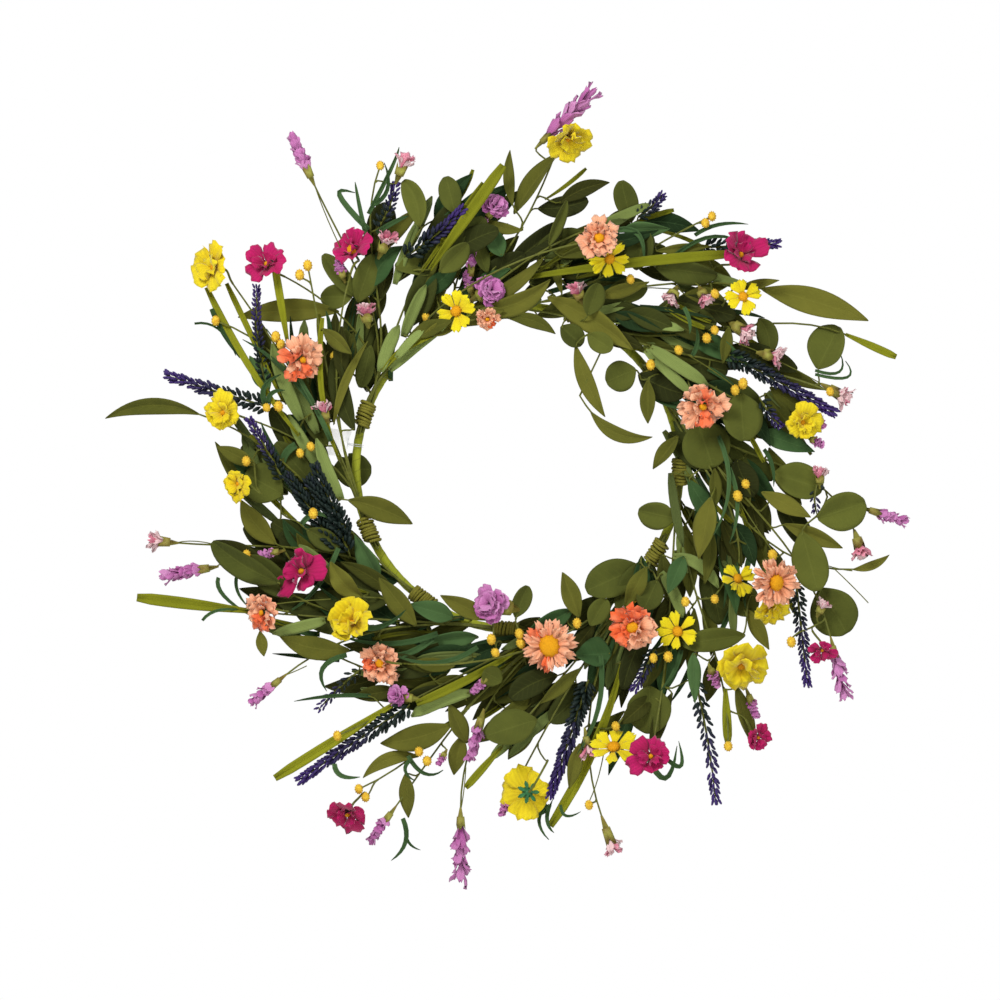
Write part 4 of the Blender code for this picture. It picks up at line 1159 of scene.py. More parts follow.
# %% Lay one leaf
def lay(kind, bunch, base, middle, tip, width, lift, roll, twist, fold, curl, tint):
    """roll, twist and fold are angles, curl is how far the tip turns up towards the viewer."""
    spots = leaf_spots[kind]
    t = spots[:, 0] / LEAF_LENGTH
    edge = spots[:, 1] / (LEAF_WIDTH / 2)
    ends = [np.array((point.x, point.z)) for point in (base, middle, tip)]
    pull = 2 * ends[1] - (ends[0] + ends[2]) / 2
    ahead = 1 - t
    spine = np.outer(ahead**2, ends[0]) + np.outer(2 * t * ahead, pull) + np.outer(t**2, ends[2])
    heading = np.outer(2 * ahead, pull - ends[0]) + np.outer(2 * t, ends[2] - pull)
    heading /= np.linalg.norm(heading, axis=1)[:, None]
    side = np.stack([-heading[:, 1], heading[:, 0]], 1)
    across = edge * width / 2
    out = np.abs(across) * math.tan(fold) + spots[:, 2]
    turn = roll + twist * t
    flat_across = across * np.cos(turn) - out * np.sin(turn)
    forward = across * np.sin(turn) + out * np.cos(turn) + curl * t**2
    place = spine + side * flat_across[:, None]
    level = sheet_depth(bunch, spine[:, 0], spine[:, 1]) - lift
    depth = behind_blooms(place[:, 0], level, place[:, 1]) - forward
    return copy_of(leaf_patterns[kind], np.stack([place[:, 0], depth, place[:, 1]], 1), tint)


# %% The stem network of each bunch
STEM_RADIUS = 0.95 * MM
STEM_LEVEL = -5.2 * MM  # behind the leaves' sheet
TWIG_REACH = 50 * MM
TWIG_STEPS = 5
STEM_STEPS = 14
GOLDEN_ANGLE = 2.4  # radians, which spreads neighbours evenly round an axis
stations = [[] for _ in BUNCH_ANGLES]  # where twigs can start, and how the stem runs there
runs = [[] for _ in BUNCH_ANGLES]  # all wires, as their points and radii
mains = [0] * len(BUNCH_ANGLES)  # how many stems leave the binding


def new_stem(bunch, end, heading, lift):
    """The points of a stem that runs through the binding and out to the end."""
    clock = math.radians(BUNCH_ANGLES[bunch])
    number = mains[bunch]
    mains[bunch] += 1
    disc = 3.3 * MM * math.sqrt((number % 12 + 0.5) / 12)
    around = number * GOLDEN_ANGLE
    across, deep = disc * math.cos(around), disc * math.sin(around)
    points = []
    for degrees in (-5.5 - number % 3 * 0.8, -2, 1):
        here = outward_at(clock + math.radians(degrees))
        points.append(here * (RING_RADIUS + across) + Vector((0, deep - BUNDLE_DEPTH, 0)))
    leave = clock + math.radians(4.2)
    start = outward_at(leave) * (RING_RADIUS + across)
    line = bend(start, onward_at(leave), Vector((end.x, 0, end.z)), heading, STEM_STEPS)
    for step, spot in enumerate(line):
        t = step / STEM_STEPS
        inside = RING_RADIUS - 3 * MM - spot.length
        if inside > 0 and t < 0.85:
            spot = spot + spot.normalized() * inside
        rise = min(max((t - 0.80) / 0.20, 0), 1)
        level = STEM_LEVEL + (lift - STEM_LEVEL) * rise * rise * (3 - 2 * rise)
        loose = min(t / 0.3, 1)
        point = on_sheet(bunch, spot, level)
        point.y = (deep - BUNDLE_DEPTH) * (1 - loose) + point.y * loose
        points.append(point)
    return points


def grow(bunch, end, heading, lift):
    """A twig from the nearest stem of the bunch, or a new stem from its binding."""
    best = None
    for spot, direction in stations[bunch]:
        twig = Vector((end.x - spot.x, 0, end.z - spot.z))
        cost = twig.length * (1 + 1.1 * direction.angle(twig, 0))
        if best is None or cost < best[0]:
            best = (cost, spot, direction)
    if best is not None and best[0] < TWIG_REACH:
        points = bend(best[1], best[2], on_sheet(bunch, end, lift), heading, TWIG_STEPS)
        radii = [STEM_RADIUS * 0.85 * (1 - 0.3 * step / TWIG_STEPS) for step in range(len(points))]
    else:
        points = new_stem(bunch, end, heading, lift)
        radii = [STEM_RADIUS * (1.1 - 0.35 * step / len(points)) for step in range(len(points))]
    for point in points:
        point.y = float(behind_blooms(point.x, point.y, point.z))
    runs[bunch].append((points, radii))
    outer = points[len(points) // 3:]
    stations[bunch].extend((start, stop - start) for start, stop in zip(outer, outer[1:]))


print("stems can grow")

# %% [markdown]
# ## Laying them all
#
# Listed leaves take six levels in turn, so that neighbours clear each other, and the fillers lie
# behind them all. Each leaf's fold, roll, twist, curl and tint come from a generator seeded by its
# place in the list, which keeps the wreath the same each time. The fillers' tints are lowered the
# farther back they lie, which paints shade on them. Where a stem has to meet the leaf is noted, and
# the stems grow later.

# %% Lay the listed leaves and the fillers
LEVELS = (0.0, 1.7 * MM, -1.7 * MM, 3.4 * MM, -3.4 * MM, 5.1 * MM)
NEAR_BINDING = 16 * MM
TUFT_LIFT = 6 * MM
laid = {}  # leaves by bunch and kind
growths = []  # the ends that stems have to reach: bunch, place, heading and lift


def add_leaf(number, kind, base, tip, width, bow, lift, filler=False):
    base, tip = flat(base), flat(tip)
    bunch = bunch_for(base, tip)
    along = tip - base
    side = Vector((-along.z, 0, along.x)).normalized()
    middle = (base + tip) / 2 + side * bow * MM
    rng = random.Random(number)
    fold = rng.uniform(0.05, 0.50)
    loose = 0.4 if filler or kind == "strap" else 1.0
    piece = lay(
        kind, bunch, base, middle, tip, width * MM, lift,
        roll=rng.uniform(-0.35, 0.35) * loose, twist=rng.uniform(-0.6, 0.6) * loose,
        fold=fold, curl=rng.uniform(-7, 7) * MM * loose,
        # painted shade: fillers get tints below zero, the lower the farther back they lie
        tint=rng.random() * (0.7 if filler else 1.0) - (0.34 - lift / MM * 0.02) * filler,
    )
    laid.setdefault((bunch, kind), []).append(piece)
    heading = (along + side * bow * MM * math.pi).normalized()
    growths.append((bunch, base + heading * 2 * MM, heading, lift))


LIFTED = {12: -26, 72: 6, 98: 8}  # leaves farther back or forward than their row, in mm
bindings_at = [outward_at(math.radians(angle)) * RING_RADIUS for angle in BUNCH_ANGLES]
for number, (kind, base, tip, width, bow) in enumerate(LEAVES):
    crossing = min((flat(tip) - spot).length for spot in bindings_at) < NEAR_BINDING
    lift = LEVELS[number % len(LEVELS)] + (crossing * 5 + LIFTED.get(number, 0)) * MM
    add_leaf(number, kind, base, tip, width, bow, lift)
for number, (kind, base, tip, width, bow) in enumerate(FILLERS):
    add_leaf(1000 + number, kind, base, tip, width, bow, (-7 - number * 7 % 9) * MM, True)
for base, middle, tip, width in TUFTS:
    bunch = bunch_for(flat(base), flat(tip))
    rng = random.Random(int(width * 10 + base[0]))
    piece = lay(
        "tuft", bunch, flat(base), flat(middle), flat(tip), width * 1.35 * MM, TUFT_LIFT,
        roll=0.2, twist=rng.uniform(-0.7, 0.7), fold=0.5, curl=rng.uniform(-6, 6) * MM,
        tint=rng.random(),
    )
    laid.setdefault((bunch, "tuft"), []).append(piece)
print("leaves laid:", sum(len(pieces) for pieces in laid.values()))

# %% [markdown]
# ## Lavender
#
# A lavender spike is a wire with whorls of small dipped buds, close at the tip and thinning
# towards the foot. One bud is a drop with few faces, since there are thousands. Each whorl turns a
# little past the one before, and its buds lean away from the wire.

# %% A bud
bud = fresh(bpy.ops.mesh.primitive_uv_sphere_add, segments=5, ring_count=4, radius=1)
choose(bud, lambda co: co.z < -0.5)
bpy.ops.transform.resize(value=(0.55, 0.55, 1), center_override=(0, 0, -1))
choose(bud, lambda co: co.z > 0.5)
bpy.ops.transform.translate(value=(0, 0, 0.25))
bud = done("bud")
bud_spots = spots_of(bud)
print("faces in a bud:", len(bud.data.polygons))


# %% Turning patterns to any axis
def turned(spots, origin, axis, roll=0.0):
    """Pattern points with their z along axis, standing at origin."""
    turn = axis.to_track_quat("Z", "Y").to_matrix() @ Matrix.Rotation(roll, 3, "Z")
    return spots @ np.array(turn).T + np.array(origin)


# %% Lavender spikes
SPIKE_LIFT = 1 * MM


def lavender_spike(number, foot, tip, radius, bare, dyed=1.0):
    """bare is the share of buds left out towards the foot, dyed how far the tip takes the dye."""
    foot, tip = flat(foot), flat(tip)
    bunch = bunch_for(foot, tip)
    rng = random.Random(300 + number)
    start, end = on_sheet(bunch, foot, SPIKE_LIFT), on_sheet(bunch, tip, SPIKE_LIFT)
    axis = (end - start).normalized()
    sway = axis.cross(Vector((0, 1, 0))) * rng.uniform(-2.5, 2.5) * MM
    length = (end - start).length
    pieces = []
    along = 0.0
    whorl = 0
    while along < length - 2 * MM:
        t = along / length
        spot = start + axis * along + sway * math.sin(math.pi * t)
        spread = 1.25 - 0.40 * t
        count = 5 if bare < 0.3 else 4
        for bud_number in range(count):
            if rng.random() < bare * (0.5 - 0.45 * t):
                continue
            around = whorl * 0.9 + math.tau * bud_number / count + rng.uniform(-0.2, 0.2)
            side = Vector(axis.orthogonal()).normalized()
            side.rotate(Matrix.Rotation(around, 3, axis))
            lean = (side * spread + axis * (1.0 + t)).normalized()
            size = radius * MM * rng.uniform(0.50, 0.68) * (1.05 - 0.3 * t)
            middle = spot + side * (0.7 * MM + size * 0.25) + lean * size
            drop = bud_spots * np.array((size * 0.42, size * 0.42, size))
            shade = min(max(t * dyed + rng.uniform(-0.1, 0.1), 0), 1)
            pieces.append(copy_of(bud, turned(drop, middle, lean, around), shade))
        along += (3.1 + 3.2 * bare) * MM * (1.15 - 0.3 * t)
        whorl += 1
    name = f"lavender_{number + 1:02d}"
    join(name, pieces, small_materials["bud"], f"spray_{bunch + 1:02d}")
    shares = 0, 0.25, 0.5, 0.75, 0.97
    points = [start + axis * length * t + sway * math.sin(math.pi * t) for t in shares]
    runs[bunch].append((points, [1.0 * MM, 0.9 * MM, 0.8 * MM, 0.7 * MM, 0.4 * MM]))
    heading = Vector((axis.x, 0, axis.z))
    growths.append((bunch, Vector((start.x, 0, start.z)), heading, SPIKE_LIFT))
    return len(pieces)


buds = [lavender_spike(number, *entry) for number, entry in enumerate(LAVENDER)]
for number, entry in enumerate(BRISTLES):
    buds.append(lavender_spike(len(LAVENDER) + number, *entry, 0.25))
print("buds on the spikes:", buds)

# %% [markdown]
# ## Petals
#
# Every bloom is built from four petal patterns, each a grid shaped to its outline with a notched
# end. A petal copy is bent upwards from the centre and then outwards, ruffled along its edge, and
# turned to its place round the flower.

# %% Petal patterns
PETALS = {  # half width in even steps from claw to edge, and how deep the edge is notched
    "fan": ((0.22, 0.50, 0.80, 1.00, 0.92), 0.13),
    "broad": ((0.25, 0.72, 0.98, 1.02, 0.80), 0.06),
    "finger": ((0.36, 0.62, 0.88, 1.00, 0.92), 0.12),
    "ribbon": ((0.45, 0.80, 1.00, 0.90, 0.62), 0.08),
}


def petal_pattern(kind):
    outline, notch = PETALS[kind]
    columns, rows = len(outline), 6
    petal = fresh(
        bpy.ops.mesh.primitive_grid_add, x_subdivisions=columns, y_subdivisions=rows, size=1
    )
    choose(petal, lambda co: True)
    bpy.ops.transform.translate(value=(0.5, 0, 0))
    steps = (outline[0] * 0.8, *outline)
    for step, share in enumerate(steps):
        choose(petal, lambda co, column=step / columns: abs(co.x - column) < 1e-4)
        bpy.ops.transform.resize(value=(1, share, 1), center_override=(0, 0, 0))
    edge = steps[-1] / rows
    for row, shift in ((0, -notch), (2, -notch * 0.7), (3, -notch * 2.2)):
        choose(petal, lambda co, row=row: co.x > 0.9 and abs(abs(co.y) - edge * row) < 0.02)
        bpy.ops.transform.translate(value=(shift, 0, 0))
    choose(petal, lambda co: 0.1 < co.x < 0.9 and abs(co.y) < 0.02)
    bpy.ops.transform.translate(value=(0, 0, -0.03))
    return done(kind, 0.016)  # of a petal's length, about a third of a millimetre


petal_patterns = {kind: petal_pattern(kind) for kind in PETALS}
petal_spots = {kind: spots_of(pattern) for kind, pattern in petal_patterns.items()}
print("faces in a petal:", len(petal_patterns["fan"].data.polygons))


# %% Bend and place one petal
def petal(kind, origin, axis, around, inner, length, width, low, high, ruffle, phase, tint):
    """low and high are the angles above the flower's face at the petal's claw and edge."""
    spots = petal_spots[kind]
    t = np.maximum(spots[:, 0], 0)
    turn = high - low if abs(high - low) > 0.01 else 0.01
    angle = low + turn * t
    ahead = (np.sin(angle) - math.sin(low)) / turn * length
    above = (math.cos(low) - np.cos(angle)) / turn * length
    wave = np.sin(spots[:, 1] * 11 + phase) + 0.6 * np.sin(spots[:, 1] * 23 + phase * 2 + t * 4)
    wave += 0.7 * np.sin(t * 8 + spots[:, 1] * 6 + phase * 3)
    lift = spots[:, 2] * length + ruffle * wave * t**1.5
    ahead = inner + ahead - lift * np.sin(angle)
    above = above + lift * np.cos(angle)
    shape = np.stack([ahead, spots[:, 1] * width * (1 - 0.10 * ruffle / length), above], 1)
    spin = np.array(Matrix.Rotation(around, 3, "Z"))
    return copy_of(petal_patterns[kind], turned(shape @ spin.T, origin, axis), tint)


# %% [markdown]
# ## Calyxes, buttons and berries
#
# A calyx is a small funnel with teeth round its mouth, made from a cone by pulling every other rim
# corner out. Buttons and berries are foam balls with a lumpy coat: the corners that a fine ball
# shares with a coarser one are pushed outwards, which gives the beads that the flock sits on.

# %% Calyx funnel
funnel = fresh(bpy.ops.mesh.primitive_cone_add, vertices=10, radius1=0.22, radius2=1, depth=1)
choose(funnel, lambda co: co.z > 0.4)
bpy.ops.mesh.inset(thickness=0.12)
bpy.ops.transform.translate(value=(0, 0, -0.45))
choose(funnel, lambda co: co.z > 0.4 and round(math.atan2(co.y, co.x) / math.radians(36)) % 2 == 0)
bpy.ops.transform.resize(value=(1.12, 1.12, 1), center_override=(0, 0, 0))
bpy.ops.transform.translate(value=(0, 0, 0.28))
choose(funnel, lambda co: True)
bpy.ops.transform.translate(value=(0, 0, 0.5))
funnel = done("funnel")
funnel_spots = spots_of(funnel)

# %% Beaded ball
coarse = fresh(bpy.ops.mesh.primitive_ico_sphere_add, subdivisions=2, radius=1)
tops = {tuple(round(value, 3) for value in vert.co) for vert in coarse.data.vertices}
bpy.data.objects.remove(coarse)
ball = fresh(bpy.ops.mesh.primitive_ico_sphere_add, subdivisions=3, radius=1)
choose(ball, lambda co: tuple(round(value, 3) for value in co) in tops)
bpy.ops.transform.resize(value=(1.24, 1.24, 1.24), center_override=(0, 0, 0))
print("beads on a ball:", len(tops))
ball = done("ball")
ball_spots = spots_of(ball)
print("faces in a funnel and a ball:", len(funnel.data.polygons), len(ball.data.polygons))

# %% [markdown]
# ## Lilac and pink sprays
#
# These are narrow blooms, much longer than they are wide: a funnel at the foot and crumpled ribbon
# petals that leave its mouth at different heights. The pink ones are the same, short and full. The
# widest lilac ones are clusters of broad petals that open towards the viewer.

# %% Narrow blooms
SPRAY_LIFT = 3 * MM


def narrow_bloom(name, number, foot, tip, radius, family):
    foot, tip = flat(foot), flat(tip)
    bunch = bunch_for(foot, tip)
    rng = random.Random(number)
    start, end = on_sheet(bunch, foot, SPRAY_LIFT), on_sheet(bunch, tip, SPRAY_LIFT)
    for point in (start, end):
        point.y = float(behind_blooms(point.x, point.y, point.z))
    axis = (end - start).normalized()
    length = (end - start).length
    full = family == "lilac" and radius > 6
    cup = min(length * 0.42, 13 * MM) if family == "lilac" else min(length * 0.5, 18 * MM)
    mouth = radius * MM * (0.40 if full else 0.62 if family == "lilac" else 0.85)
    shape = funnel_spots * np.array((mouth, mouth, cup))
    shade = np.clip(funnel_spots[:, 2], 0, 1)
    calyx = copy_of(funnel, turned(shape, start - axis * 2 * MM, axis, rng.uniform(0, 3)), shade)
    node = f"spray_{bunch + 1:02d}"
    join(f"{name}_calyx", [calyx], small_materials["calyx"], node)
    pieces = []
    origin = start + axis * (cup - 4 * MM)
    left = length - cup + 4 * MM
    face = (axis * 0.6 + Vector((0, -1, 0))).normalized() if full else axis
    if full:
        origin = start + axis * length * 0.5
    count = 24 if full else 18 if family == "lilac" else 13
    for step in range(count):
        around = step * GOLDEN_ANGLE + rng.uniform(-0.3, 0.3)
        t = step / count
        if full:
            shift = face * radius * 0.40 * MM * t
            size = radius * MM * rng.uniform(0.80, 1.05) * (1 - 0.40 * t)
            wide = radius * MM * rng.uniform(0.60, 0.78)
            low, high = math.radians(15 + 55 * t), math.radians(rng.uniform(-25, 5) + 60 * t)
            kind = "broad"
        elif family == "lilac":
            shift = axis * left * 0.68 * t
            size = left * rng.uniform(0.24, 0.33)
            wide = radius * MM * rng.uniform(1.4, 2.0) * (1.1 - 0.5 * t)
            low, high = math.radians(rng.uniform(62, 84)), math.radians(rng.uniform(35, 85))
            kind = "ribbon"
        else:
            shift = axis * left * 0.12 * (step % 3)
            size = min(max(left, 9 * MM), 14 * MM) * rng.uniform(0.75, 1.0)
            wide = radius * MM * rng.uniform(1.3, 1.9)
            low, high = math.radians(rng.uniform(60, 85)), math.radians(rng.uniform(5, 60))
            kind = "fan"
        tint = rng.random() if family == "lilac" else rng.choice((0.0, 0.1, 0.9, 1.0))
        pieces.append(
            petal(kind, origin + shift, face, around, 0.5 * MM, size, wide, low, high,
                  size * 0.07, rng.uniform(0, 6), tint)
        )
    join(f"{name}_petals", pieces, petal_materials[family], node)
    heading = Vector((axis.x, 0, axis.z))
    growths.append((bunch, Vector((start.x, 0, start.z)), heading, SPRAY_LIFT))


for number, entry in enumerate(LILAC):
    narrow_bloom(f"lilac_{number + 1:02d}", 500 + number, *entry, "lilac")
for number, entry in enumerate(PINKS):
    narrow_bloom(f"pink_{number + 1:02d}", 600 + number, *entry, "pink")
print("narrow blooms:", len(LILAC) + len(PINKS))

# %% Berries on their wires
BERRY_LIFT = 9 * MM
berry_pieces = {}
for number, (bent, spot) in enumerate(BERRIES):
    bent, spot = flat(bent), flat(spot)
    bunch = bunch_for(bent, spot)
    rng = random.Random(700 + number)
    size = rng.uniform(2.8, 3.4) * MM
    centre = on_sheet(bunch, spot, BERRY_LIFT)
    shape = ball_spots * size * np.array((0.95, 1.2, 0.95))
    berry_pieces.setdefault(bunch, []).append(
        copy_of(ball, turned(shape, centre, Vector((rng.random(), -1, rng.random()))), rng.random())
    )
    growths.append((bunch, spot, (spot - bent).normalized(), BERRY_LIFT))
for bunch, pieces in berry_pieces.items():
    node = f"spray_{bunch + 1:02d}"
    join(f"berries_{bunch + 1:02d}", pieces, small_materials["berry"], node)
print("berries:", len(BERRIES))

# %% [markdown]
# ## The large blooms
#
# Four families make the colour of the wreath. Peach ones are double, with two or three rows of
# notched petals round an orange button. Cosmos have eight notched petals in one row. The golden
# and the magenta ones have a few broad, ruffled petals. Each stands on its own calyx, and its depth
# comes from the solid bloom of the frame.

# %% How each family is built
FAMILIES = {  # rows of petals: kind, count, start, length, width, claw angle, edge angle, ruffle
    "peach": (
        ("fan", 8, 0.16, 0.90, 0.72, 32, -6, 0.085),
        ("fan", 7, 0.16, 0.72, 0.64, 50, 12, 0.100),
        ("fan", 5, 0.10, 0.56, 0.50, 70, 34, 0.090),
    ),
    "cosmos": (
        ("finger", 8, 0.14, 0.92, 0.54, 22, 0, 0.055),
    ),
    "ruffled": (
        ("broad", 5, 0.06, 1.02, 1.06, 50, -4, 0.110),
        ("broad", 4, 0.05, 0.80, 0.82, 76, 24, 0.120),
    ),
    "magenta": (
        ("broad", 5, 0.06, 1.02, 0.86, 44, -6, 0.100),
        ("broad", 3, 0.05, 0.66, 0.62, 70, 34, 0.110),
    ),
}
RED_SIDES = {  # where the redder petals are, in clock degrees, and how many degrees they span
    "peach_bloom_1": ((290, 60), (195, 60)),
    "peach_bloom_3": ((180, 60), (10, 20)),
    "peach_bloom_4": ((120, 60),),
    "peach_bloom_5": ((318, 26), (190, 24)),
    "peach_bloom_6": ((330, 80), (40, 60), (250, 70)),
    "peach_bloom_8": ((200, 110),),
    "peach_bloom_9": ((265, 80),),
}
DAISIES = {"peach_bloom_5": 19, "peach_bloom_7": 15}  # petals in the outer row


# %% Build a bloom
def red_share(name, clock, rng):
    for middle, span in RED_SIDES.get(name, ()):
        if abs((clock - middle + 180) % 360 - 180) < span / 2:
            return rng.uniform(0.75, 1.0)
    return rng.uniform(0.0, 0.16)


def bloom(number, name, family, spot, radius, facing, front):
    rng = random.Random(900 + number)
    radius = radius * MM
    lean = math.hypot(*facing)
    face = math.sqrt(1 - lean * lean)
    axis = Vector((facing[0], -front * face, facing[1]))
    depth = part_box(name)[0].y + radius * lean + (3.7 * MM * face if front > 0 else radius * 0.40)
    centre = Vector((spot[0] * MM, depth, spot[1] * MM))
    origin = centre - axis * radius * 0.22
    pieces = []
    for row, (kind, count, inner, length, width, claw, edge, ruffle) in enumerate(FAMILIES[family]):
        if name in DAISIES:
            if row == 2:
                continue
            kind, count, width = "finger", DAISIES[name] - row * 4, 0.34
            claw, edge = claw - 22, edge + 2
        for step in range(count):
            around = math.tau * (step + row * 0.5) / count + rng.uniform(-0.2, 0.2)
            turn = axis.to_track_quat("Z", "Y") @ Vector((math.cos(around), math.sin(around), 0))
            clock = math.degrees(math.atan2(turn.x, turn.z))
            tint = red_share(name, clock, rng) if family == "peach" else rng.uniform(0, 0.5)
            loose = {"ruffled": 1.0, "magenta": 1.1, "peach": 0.8, "cosmos": 0.4}[family]
            loose = 0.35 if name in DAISIES else loose
            size = radius * length * (1 + loose * rng.uniform(-0.32, 0.14))
            droop = rng.uniform(-22, 22) * (1 + loose)
            pieces.append(
                petal(
                    kind, origin + axis * row * 0.6 * MM, axis, around, radius * inner, size,
                    radius * width * rng.uniform(0.9, 1.1),
                    math.radians(claw + rng.uniform(-6, 6)), math.radians(edge + droop),
                    radius * ruffle, rng.uniform(0, 6), tint,
                )
            )
    join(f"{name}_petals", pieces, petal_materials[family], name)
    return origin, axis, radius, rng


# %% Buttons and calyxes
BUTTONS = {  # half width, half height and half depth, as shares of the bloom's radius
    "peach": (0.30, 0.26, 0.16),
    "cosmos": (0.24, 0.22, 0.14),
    "ruffled": (0.12, 0.12, 0.10),
    "magenta": (0.10, 0.10, 0.10),
}
CLOSED = {  # double blooms whose petals leave only part of the button to be seen
    "peach_bloom_1": 0.45,
    "peach_bloom_2": 0.75,
    "peach_bloom_3": 0.45,
    "peach_bloom_4": 0.50,
    "peach_bloom_6": 0.75,
    "peach_bloom_8": 0.40,
    "peach_bloom_9": 0.70,
}


def finish_bloom(name, family, origin, axis, radius, rng):
    wide, tall, thick = (share * radius for share in BUTTONS[family])
    if name in CLOSED:
        wide, tall, thick = wide * CLOSED[name], tall * CLOSED[name], thick * CLOSED[name]
    if name == "magenta_bloom_2":
        wide, tall, thick = 0.22 * radius, 0.20 * radius, 0.16 * radius
    if name == "peach_bloom_5":
        wide, tall, thick = 0.34 * radius, 0.38 * radius, 0.16 * radius
    shape = ball_spots * np.array((wide, tall, thick))
    top = origin + axis * radius * (0.30 if family == "peach" else 0.12)
    if name in DAISIES:
        top = origin + axis * radius * 0.16
    button = copy_of(ball, turned(shape, top, axis, rng.uniform(0, 3)), 0.5)
    join(f"{name}_button", [button], small_materials["button"], name)
    cup = radius * 0.34
    shape = funnel_spots * np.array((radius * 0.20, radius * 0.20, cup))
    calyx = copy_of(funnel, turned(shape, origin - axis * cup * 0.95, axis), 0.5)
    join(f"{name}_calyx", [calyx], small_materials["leafy"], name)
    return origin - axis * cup * 0.95


seats = []
for number, (name, family, spot, radius, facing, front) in enumerate(HEADS):
    origin, axis, size, rng = bloom(number, name, family, spot, radius, facing, front)
    seats.append((name, finish_bloom(name, family, origin, axis, size, rng), axis, size, front))
print("blooms:", len(seats))

# %% [markdown]
# ## Stems of the blooms
#
# A bloom's stem leaves the bunch behind it and curves forward into the calyx. One golden bloom is
# turned away, so its stem hooks over its edge and meets the green star at its back.

# %% Join each bloom to its bunch
def carrier_of(seat):
    """The bunch whose sheet lies closest behind a bloom."""
    best = None
    for bunch in range(len(BUNCH_ANGLES)):
        if 12 < float(reach_of(bunch, seat.x, seat.z)) < 95:
            depth = on_sheet(bunch, seat).y
            rank = depth if depth > seat.y else depth + 1
            if best is None or rank < best[0]:
                best = (rank, bunch)
    return best[1]


for name, seat, axis, radius, front in seats:
    bunch = carrier_of(seat)
    clock = math.radians(BUNCH_ANGLES[bunch])
    chord = Vector((seat.x, 0, seat.z)) - outward_at(clock) * RING_RADIUS
    heading = (chord.normalized() * 2 - onward_at(clock)).normalized()
    foot = Vector((seat.x, 0, seat.z)) - heading * 14 * MM
    if front < 0:
        foot = Vector((seat.x, 0, seat.z)) + Vector((0.51, 0, 0.86)) * (radius + 6 * MM)
        heading = Vector((-0.3, 0, 0.9))
    growths.append((bunch, foot, heading, 0.0))
    start = on_sheet(bunch, foot)
    middle = Vector((foot.x, seat.y + 3 * MM, foot.z)) if front < 0 else None
    if middle:
        hook = middle + Vector((-1, -4, -2)) * MM
        points = [start, middle, *bend(hook, Vector((-0.4, -0.6, -0.7)), seat, axis, 6)]
    else:
        points = bend(start, heading, seat, axis, 7, 0.5)
    runs[bunch].append((points, [STEM_RADIUS] * len(points)))
print("stems planned:", len(growths))

# %% Sepals of the bloom that is turned away
name, seat, axis, radius, front = next(entry for entry in seats if entry[4] < 0)
sepals = []
for step in range(7):
    around = math.tau * step / 7
    base = seat + axis * 3 * MM
    sepals.append(
        petal("ribbon", base, -axis, around, 1 * MM, 8 * MM, 3 * MM, 0.1, -0.4, 0, 0, 0.5)
    )
join(f"{name}_sepals", sepals, small_materials["leafy"], name)
print("sepals:", len(sepals))

# %% [markdown]
# ## Growing the stems
#
# The farthest pieces grow first, so that they claim the long stems, and nearer ones join those by
# short twigs. Then each bunch is complete: its wires become one piece, and its leaves one piece of
# each kind.

# %% Grow every stem and finish the bunches
def from_binding(growth):
    """How far a stem's end is from its bunch's binding."""
    bunch, end = growth[:2]
    start = outward_at(math.radians(BUNCH_ANGLES[bunch])) * RING_RADIUS
    return (Vector((end.x, 0, end.z)) - start).length


for bunch, end, heading, lift in sorted(growths, key=from_binding, reverse=True):
    grow(bunch, end, heading, lift)
for points in FINE_WIRES:
    start, middle, end = (flat(point) for point in points)
    bunch = bunch_for(start, end)
    line = []
    for t in (0, 0.2, 0.4, 0.6, 0.8, 1):
        spot = start.lerp(middle, t).lerp(middle.lerp(end, t), t)
        line.append(on_sheet(bunch, spot, SPRAY_LIFT))
    runs[bunch].append((line, [0.45 * MM] * 6))
for bunch in range(len(BUNCH_ANGLES)):
    node = f"spray_{bunch + 1:02d}"
    wires(f"{node}_stems", runs[bunch], small_materials["stem"], node)
    for kind in OUTLINES:
        if (bunch, kind) in laid:
            join(f"{node}_{kind}_leaves", laid[bunch, kind], leaf_materials[kind], node)
print("stems from each binding:", mains)

# %% [markdown]
# ## The hang tag
#
# A plain card hangs on a clear line that goes twice round the hoop. It turns with its own body, so
# both pieces ride on the tag. The card is a flat box with slightly bevelled edges, and its hole is
# cut with a Boolean.

# %% Card
card_low, card_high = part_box("hang_tag")
tag_clock = math.radians(278)
card_middle = (card_low + card_high) / 2
card = fresh(bpy.ops.mesh.primitive_cube_add, size=1)
choose(card, lambda co: True)
bpy.ops.transform.resize(value=(20 * MM, 0.6 * MM, 16 * MM), center_override=(0, 0, 0))
bpy.ops.object.mode_set(mode="OBJECT")
apply_new(card, "BEVEL", limit_method="ANGLE", width=0.15 * MM, segments=1)
punch = fresh(
    bpy.ops.mesh.primitive_cylinder_add,
    vertices=16,
    radius=1.3 * MM,
    depth=4 * MM,
    location=(0, 0, -5 * MM),
    rotation=(math.pi / 2, 0, 0),
)
bpy.context.view_layer.objects.active = card
apply_new(card, "BOOLEAN", object=punch)
bpy.data.objects.remove(punch)
card = done("card")
spin = np.array(Matrix.Rotation(tag_clock, 3, "Y"))
tag_offset = np.array(card_middle - CENTRE)
tag = copy_of(card, spots_of(card) @ spin.T + tag_offset, 0.5)
join("hang_tag_card", [tag], small_materials["card"], "hang_tag", "tag")
print("tag at", tuple(round(value, 4) for value in card_middle))

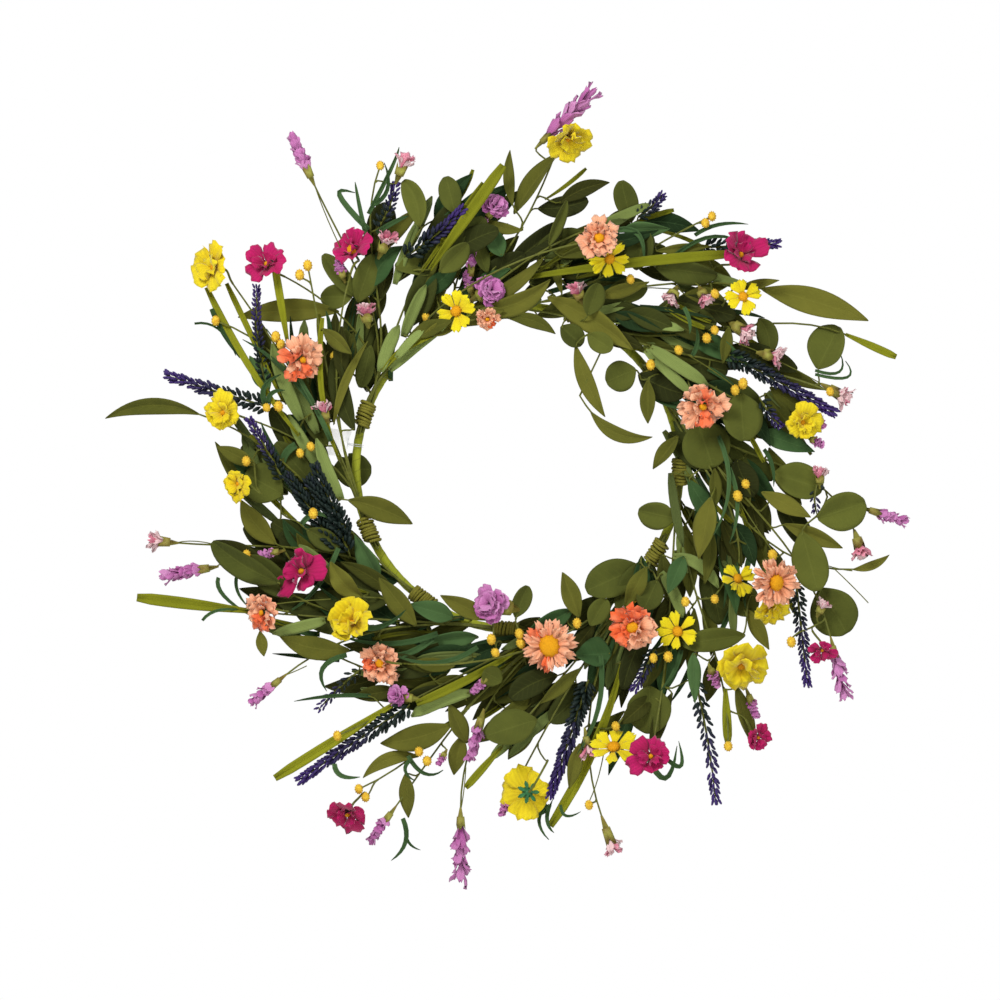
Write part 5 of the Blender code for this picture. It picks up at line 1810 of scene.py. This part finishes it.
# %% Line
out, on, front = outward_at(tag_clock), onward_at(tag_clock), Vector((0, -1, 0))
loops = []
for shift in (-0.7, 0.7):
    points = []
    for step in range(37):
        turn = math.tau * step / 36
        near = max(math.cos(turn), 0) ** 5
        radius = TAPE_RADIUS + 0.75 * MM
        far = radius * math.cos(turn) + near * 3.4 * MM
        side = on * (shift * MM * (1 - near * 0.7))
        points.append(out * (RING_RADIUS + far) + side + front * radius * math.sin(turn))
    loops.append((points, [0.22 * MM] * 37))
knot = [
    out * (RING_RADIUS + 7.6 * MM) + on * along * MM + front * ahead * MM
    for along, ahead in ((-3, 1.2), (-1, 1.6), (0.6, 1.0), (2.6, 1.8), (5, 1.4))
]
loops.append((knot, [0.22 * MM] * 5))
wires("tag_line", loops, small_materials["thread"], "tag_thread", 1, "tag")

# %% [markdown]
# ## Camera, light and floor
#
# The wreath hangs on nothing in a bright studio: a long lens straight in front keeps its outline
# true and the background is white. Two large soft lights in front, the stronger one from above and
# the left, shape the petals without hard shadows, and a third one lights the back. The floor is a
# pale disc well below.

# %% Camera
camera_data = bpy.data.cameras.new("camera")
camera_data.lens = 384
camera_data.sensor_width = 36
camera_data.clip_end = 50
camera = bpy.data.objects.new("camera", camera_data)
bpy.context.scene.collection.objects.link(camera)
camera.location = CENTRE + Vector((-0.0135, -8.0, -0.024))  # the hoop sits a little off the middle
camera.rotation_euler = (math.pi / 2, 0, 0)
bpy.context.scene.camera = camera

# %% Light and background
bpy.context.scene.view_settings.view_transform = "Standard"
world = bpy.data.worlds.new("studio")
bpy.context.scene.world = world
world.use_nodes = True
background = world.node_tree.nodes["Background"]
background.inputs["Color"].default_value = (1, 1, 1, 1)
seen = world.node_tree.nodes.new("ShaderNodeLightPath")
level = world.node_tree.nodes.new("ShaderNodeMapRange")
level.inputs["To Min"].default_value = 0.40
level.inputs["To Max"].default_value = 1.0
world.node_tree.links.new(seen.outputs["Is Camera Ray"], level.inputs["Value"])
world.node_tree.links.new(level.outputs["Result"], background.inputs["Strength"])


def soft_light(name, place, size, power):
    data = bpy.data.lights.new(name, "AREA")
    data.shape = "SQUARE"
    data.size = size
    data.energy = power
    lamp = bpy.data.objects.new(name, data)
    bpy.context.scene.collection.objects.link(lamp)
    lamp.location = place
    lamp.rotation_euler = (CENTRE - Vector(place)).to_track_quat("-Z", "Y").to_euler()


soft_light("key", (-0.9, -1.6, 1.1), 0.7, 34)
soft_light("fill", (1.4, -1.8, 0.2), 1.2, 14)
soft_light("back", (0.7, 2.2, 0.6), 1.4, 14)

# %% Floor
floor = fresh(
    bpy.ops.mesh.primitive_circle_add,
    vertices=96,
    radius=5.4,
    fill_type="NGON",
    location=(0, 0, CENTRE.z - 0.66),
)
floor.name = "floor"
floor.data.materials.append(Paint("floor_paint").finish((0.86, 0.86, 0.85), 0.7))

# %% Clear the patterns
for pattern in patterns:
    if pattern.name in bpy.data.objects and not pattern.parent:
        bpy.data.objects.remove(pattern)
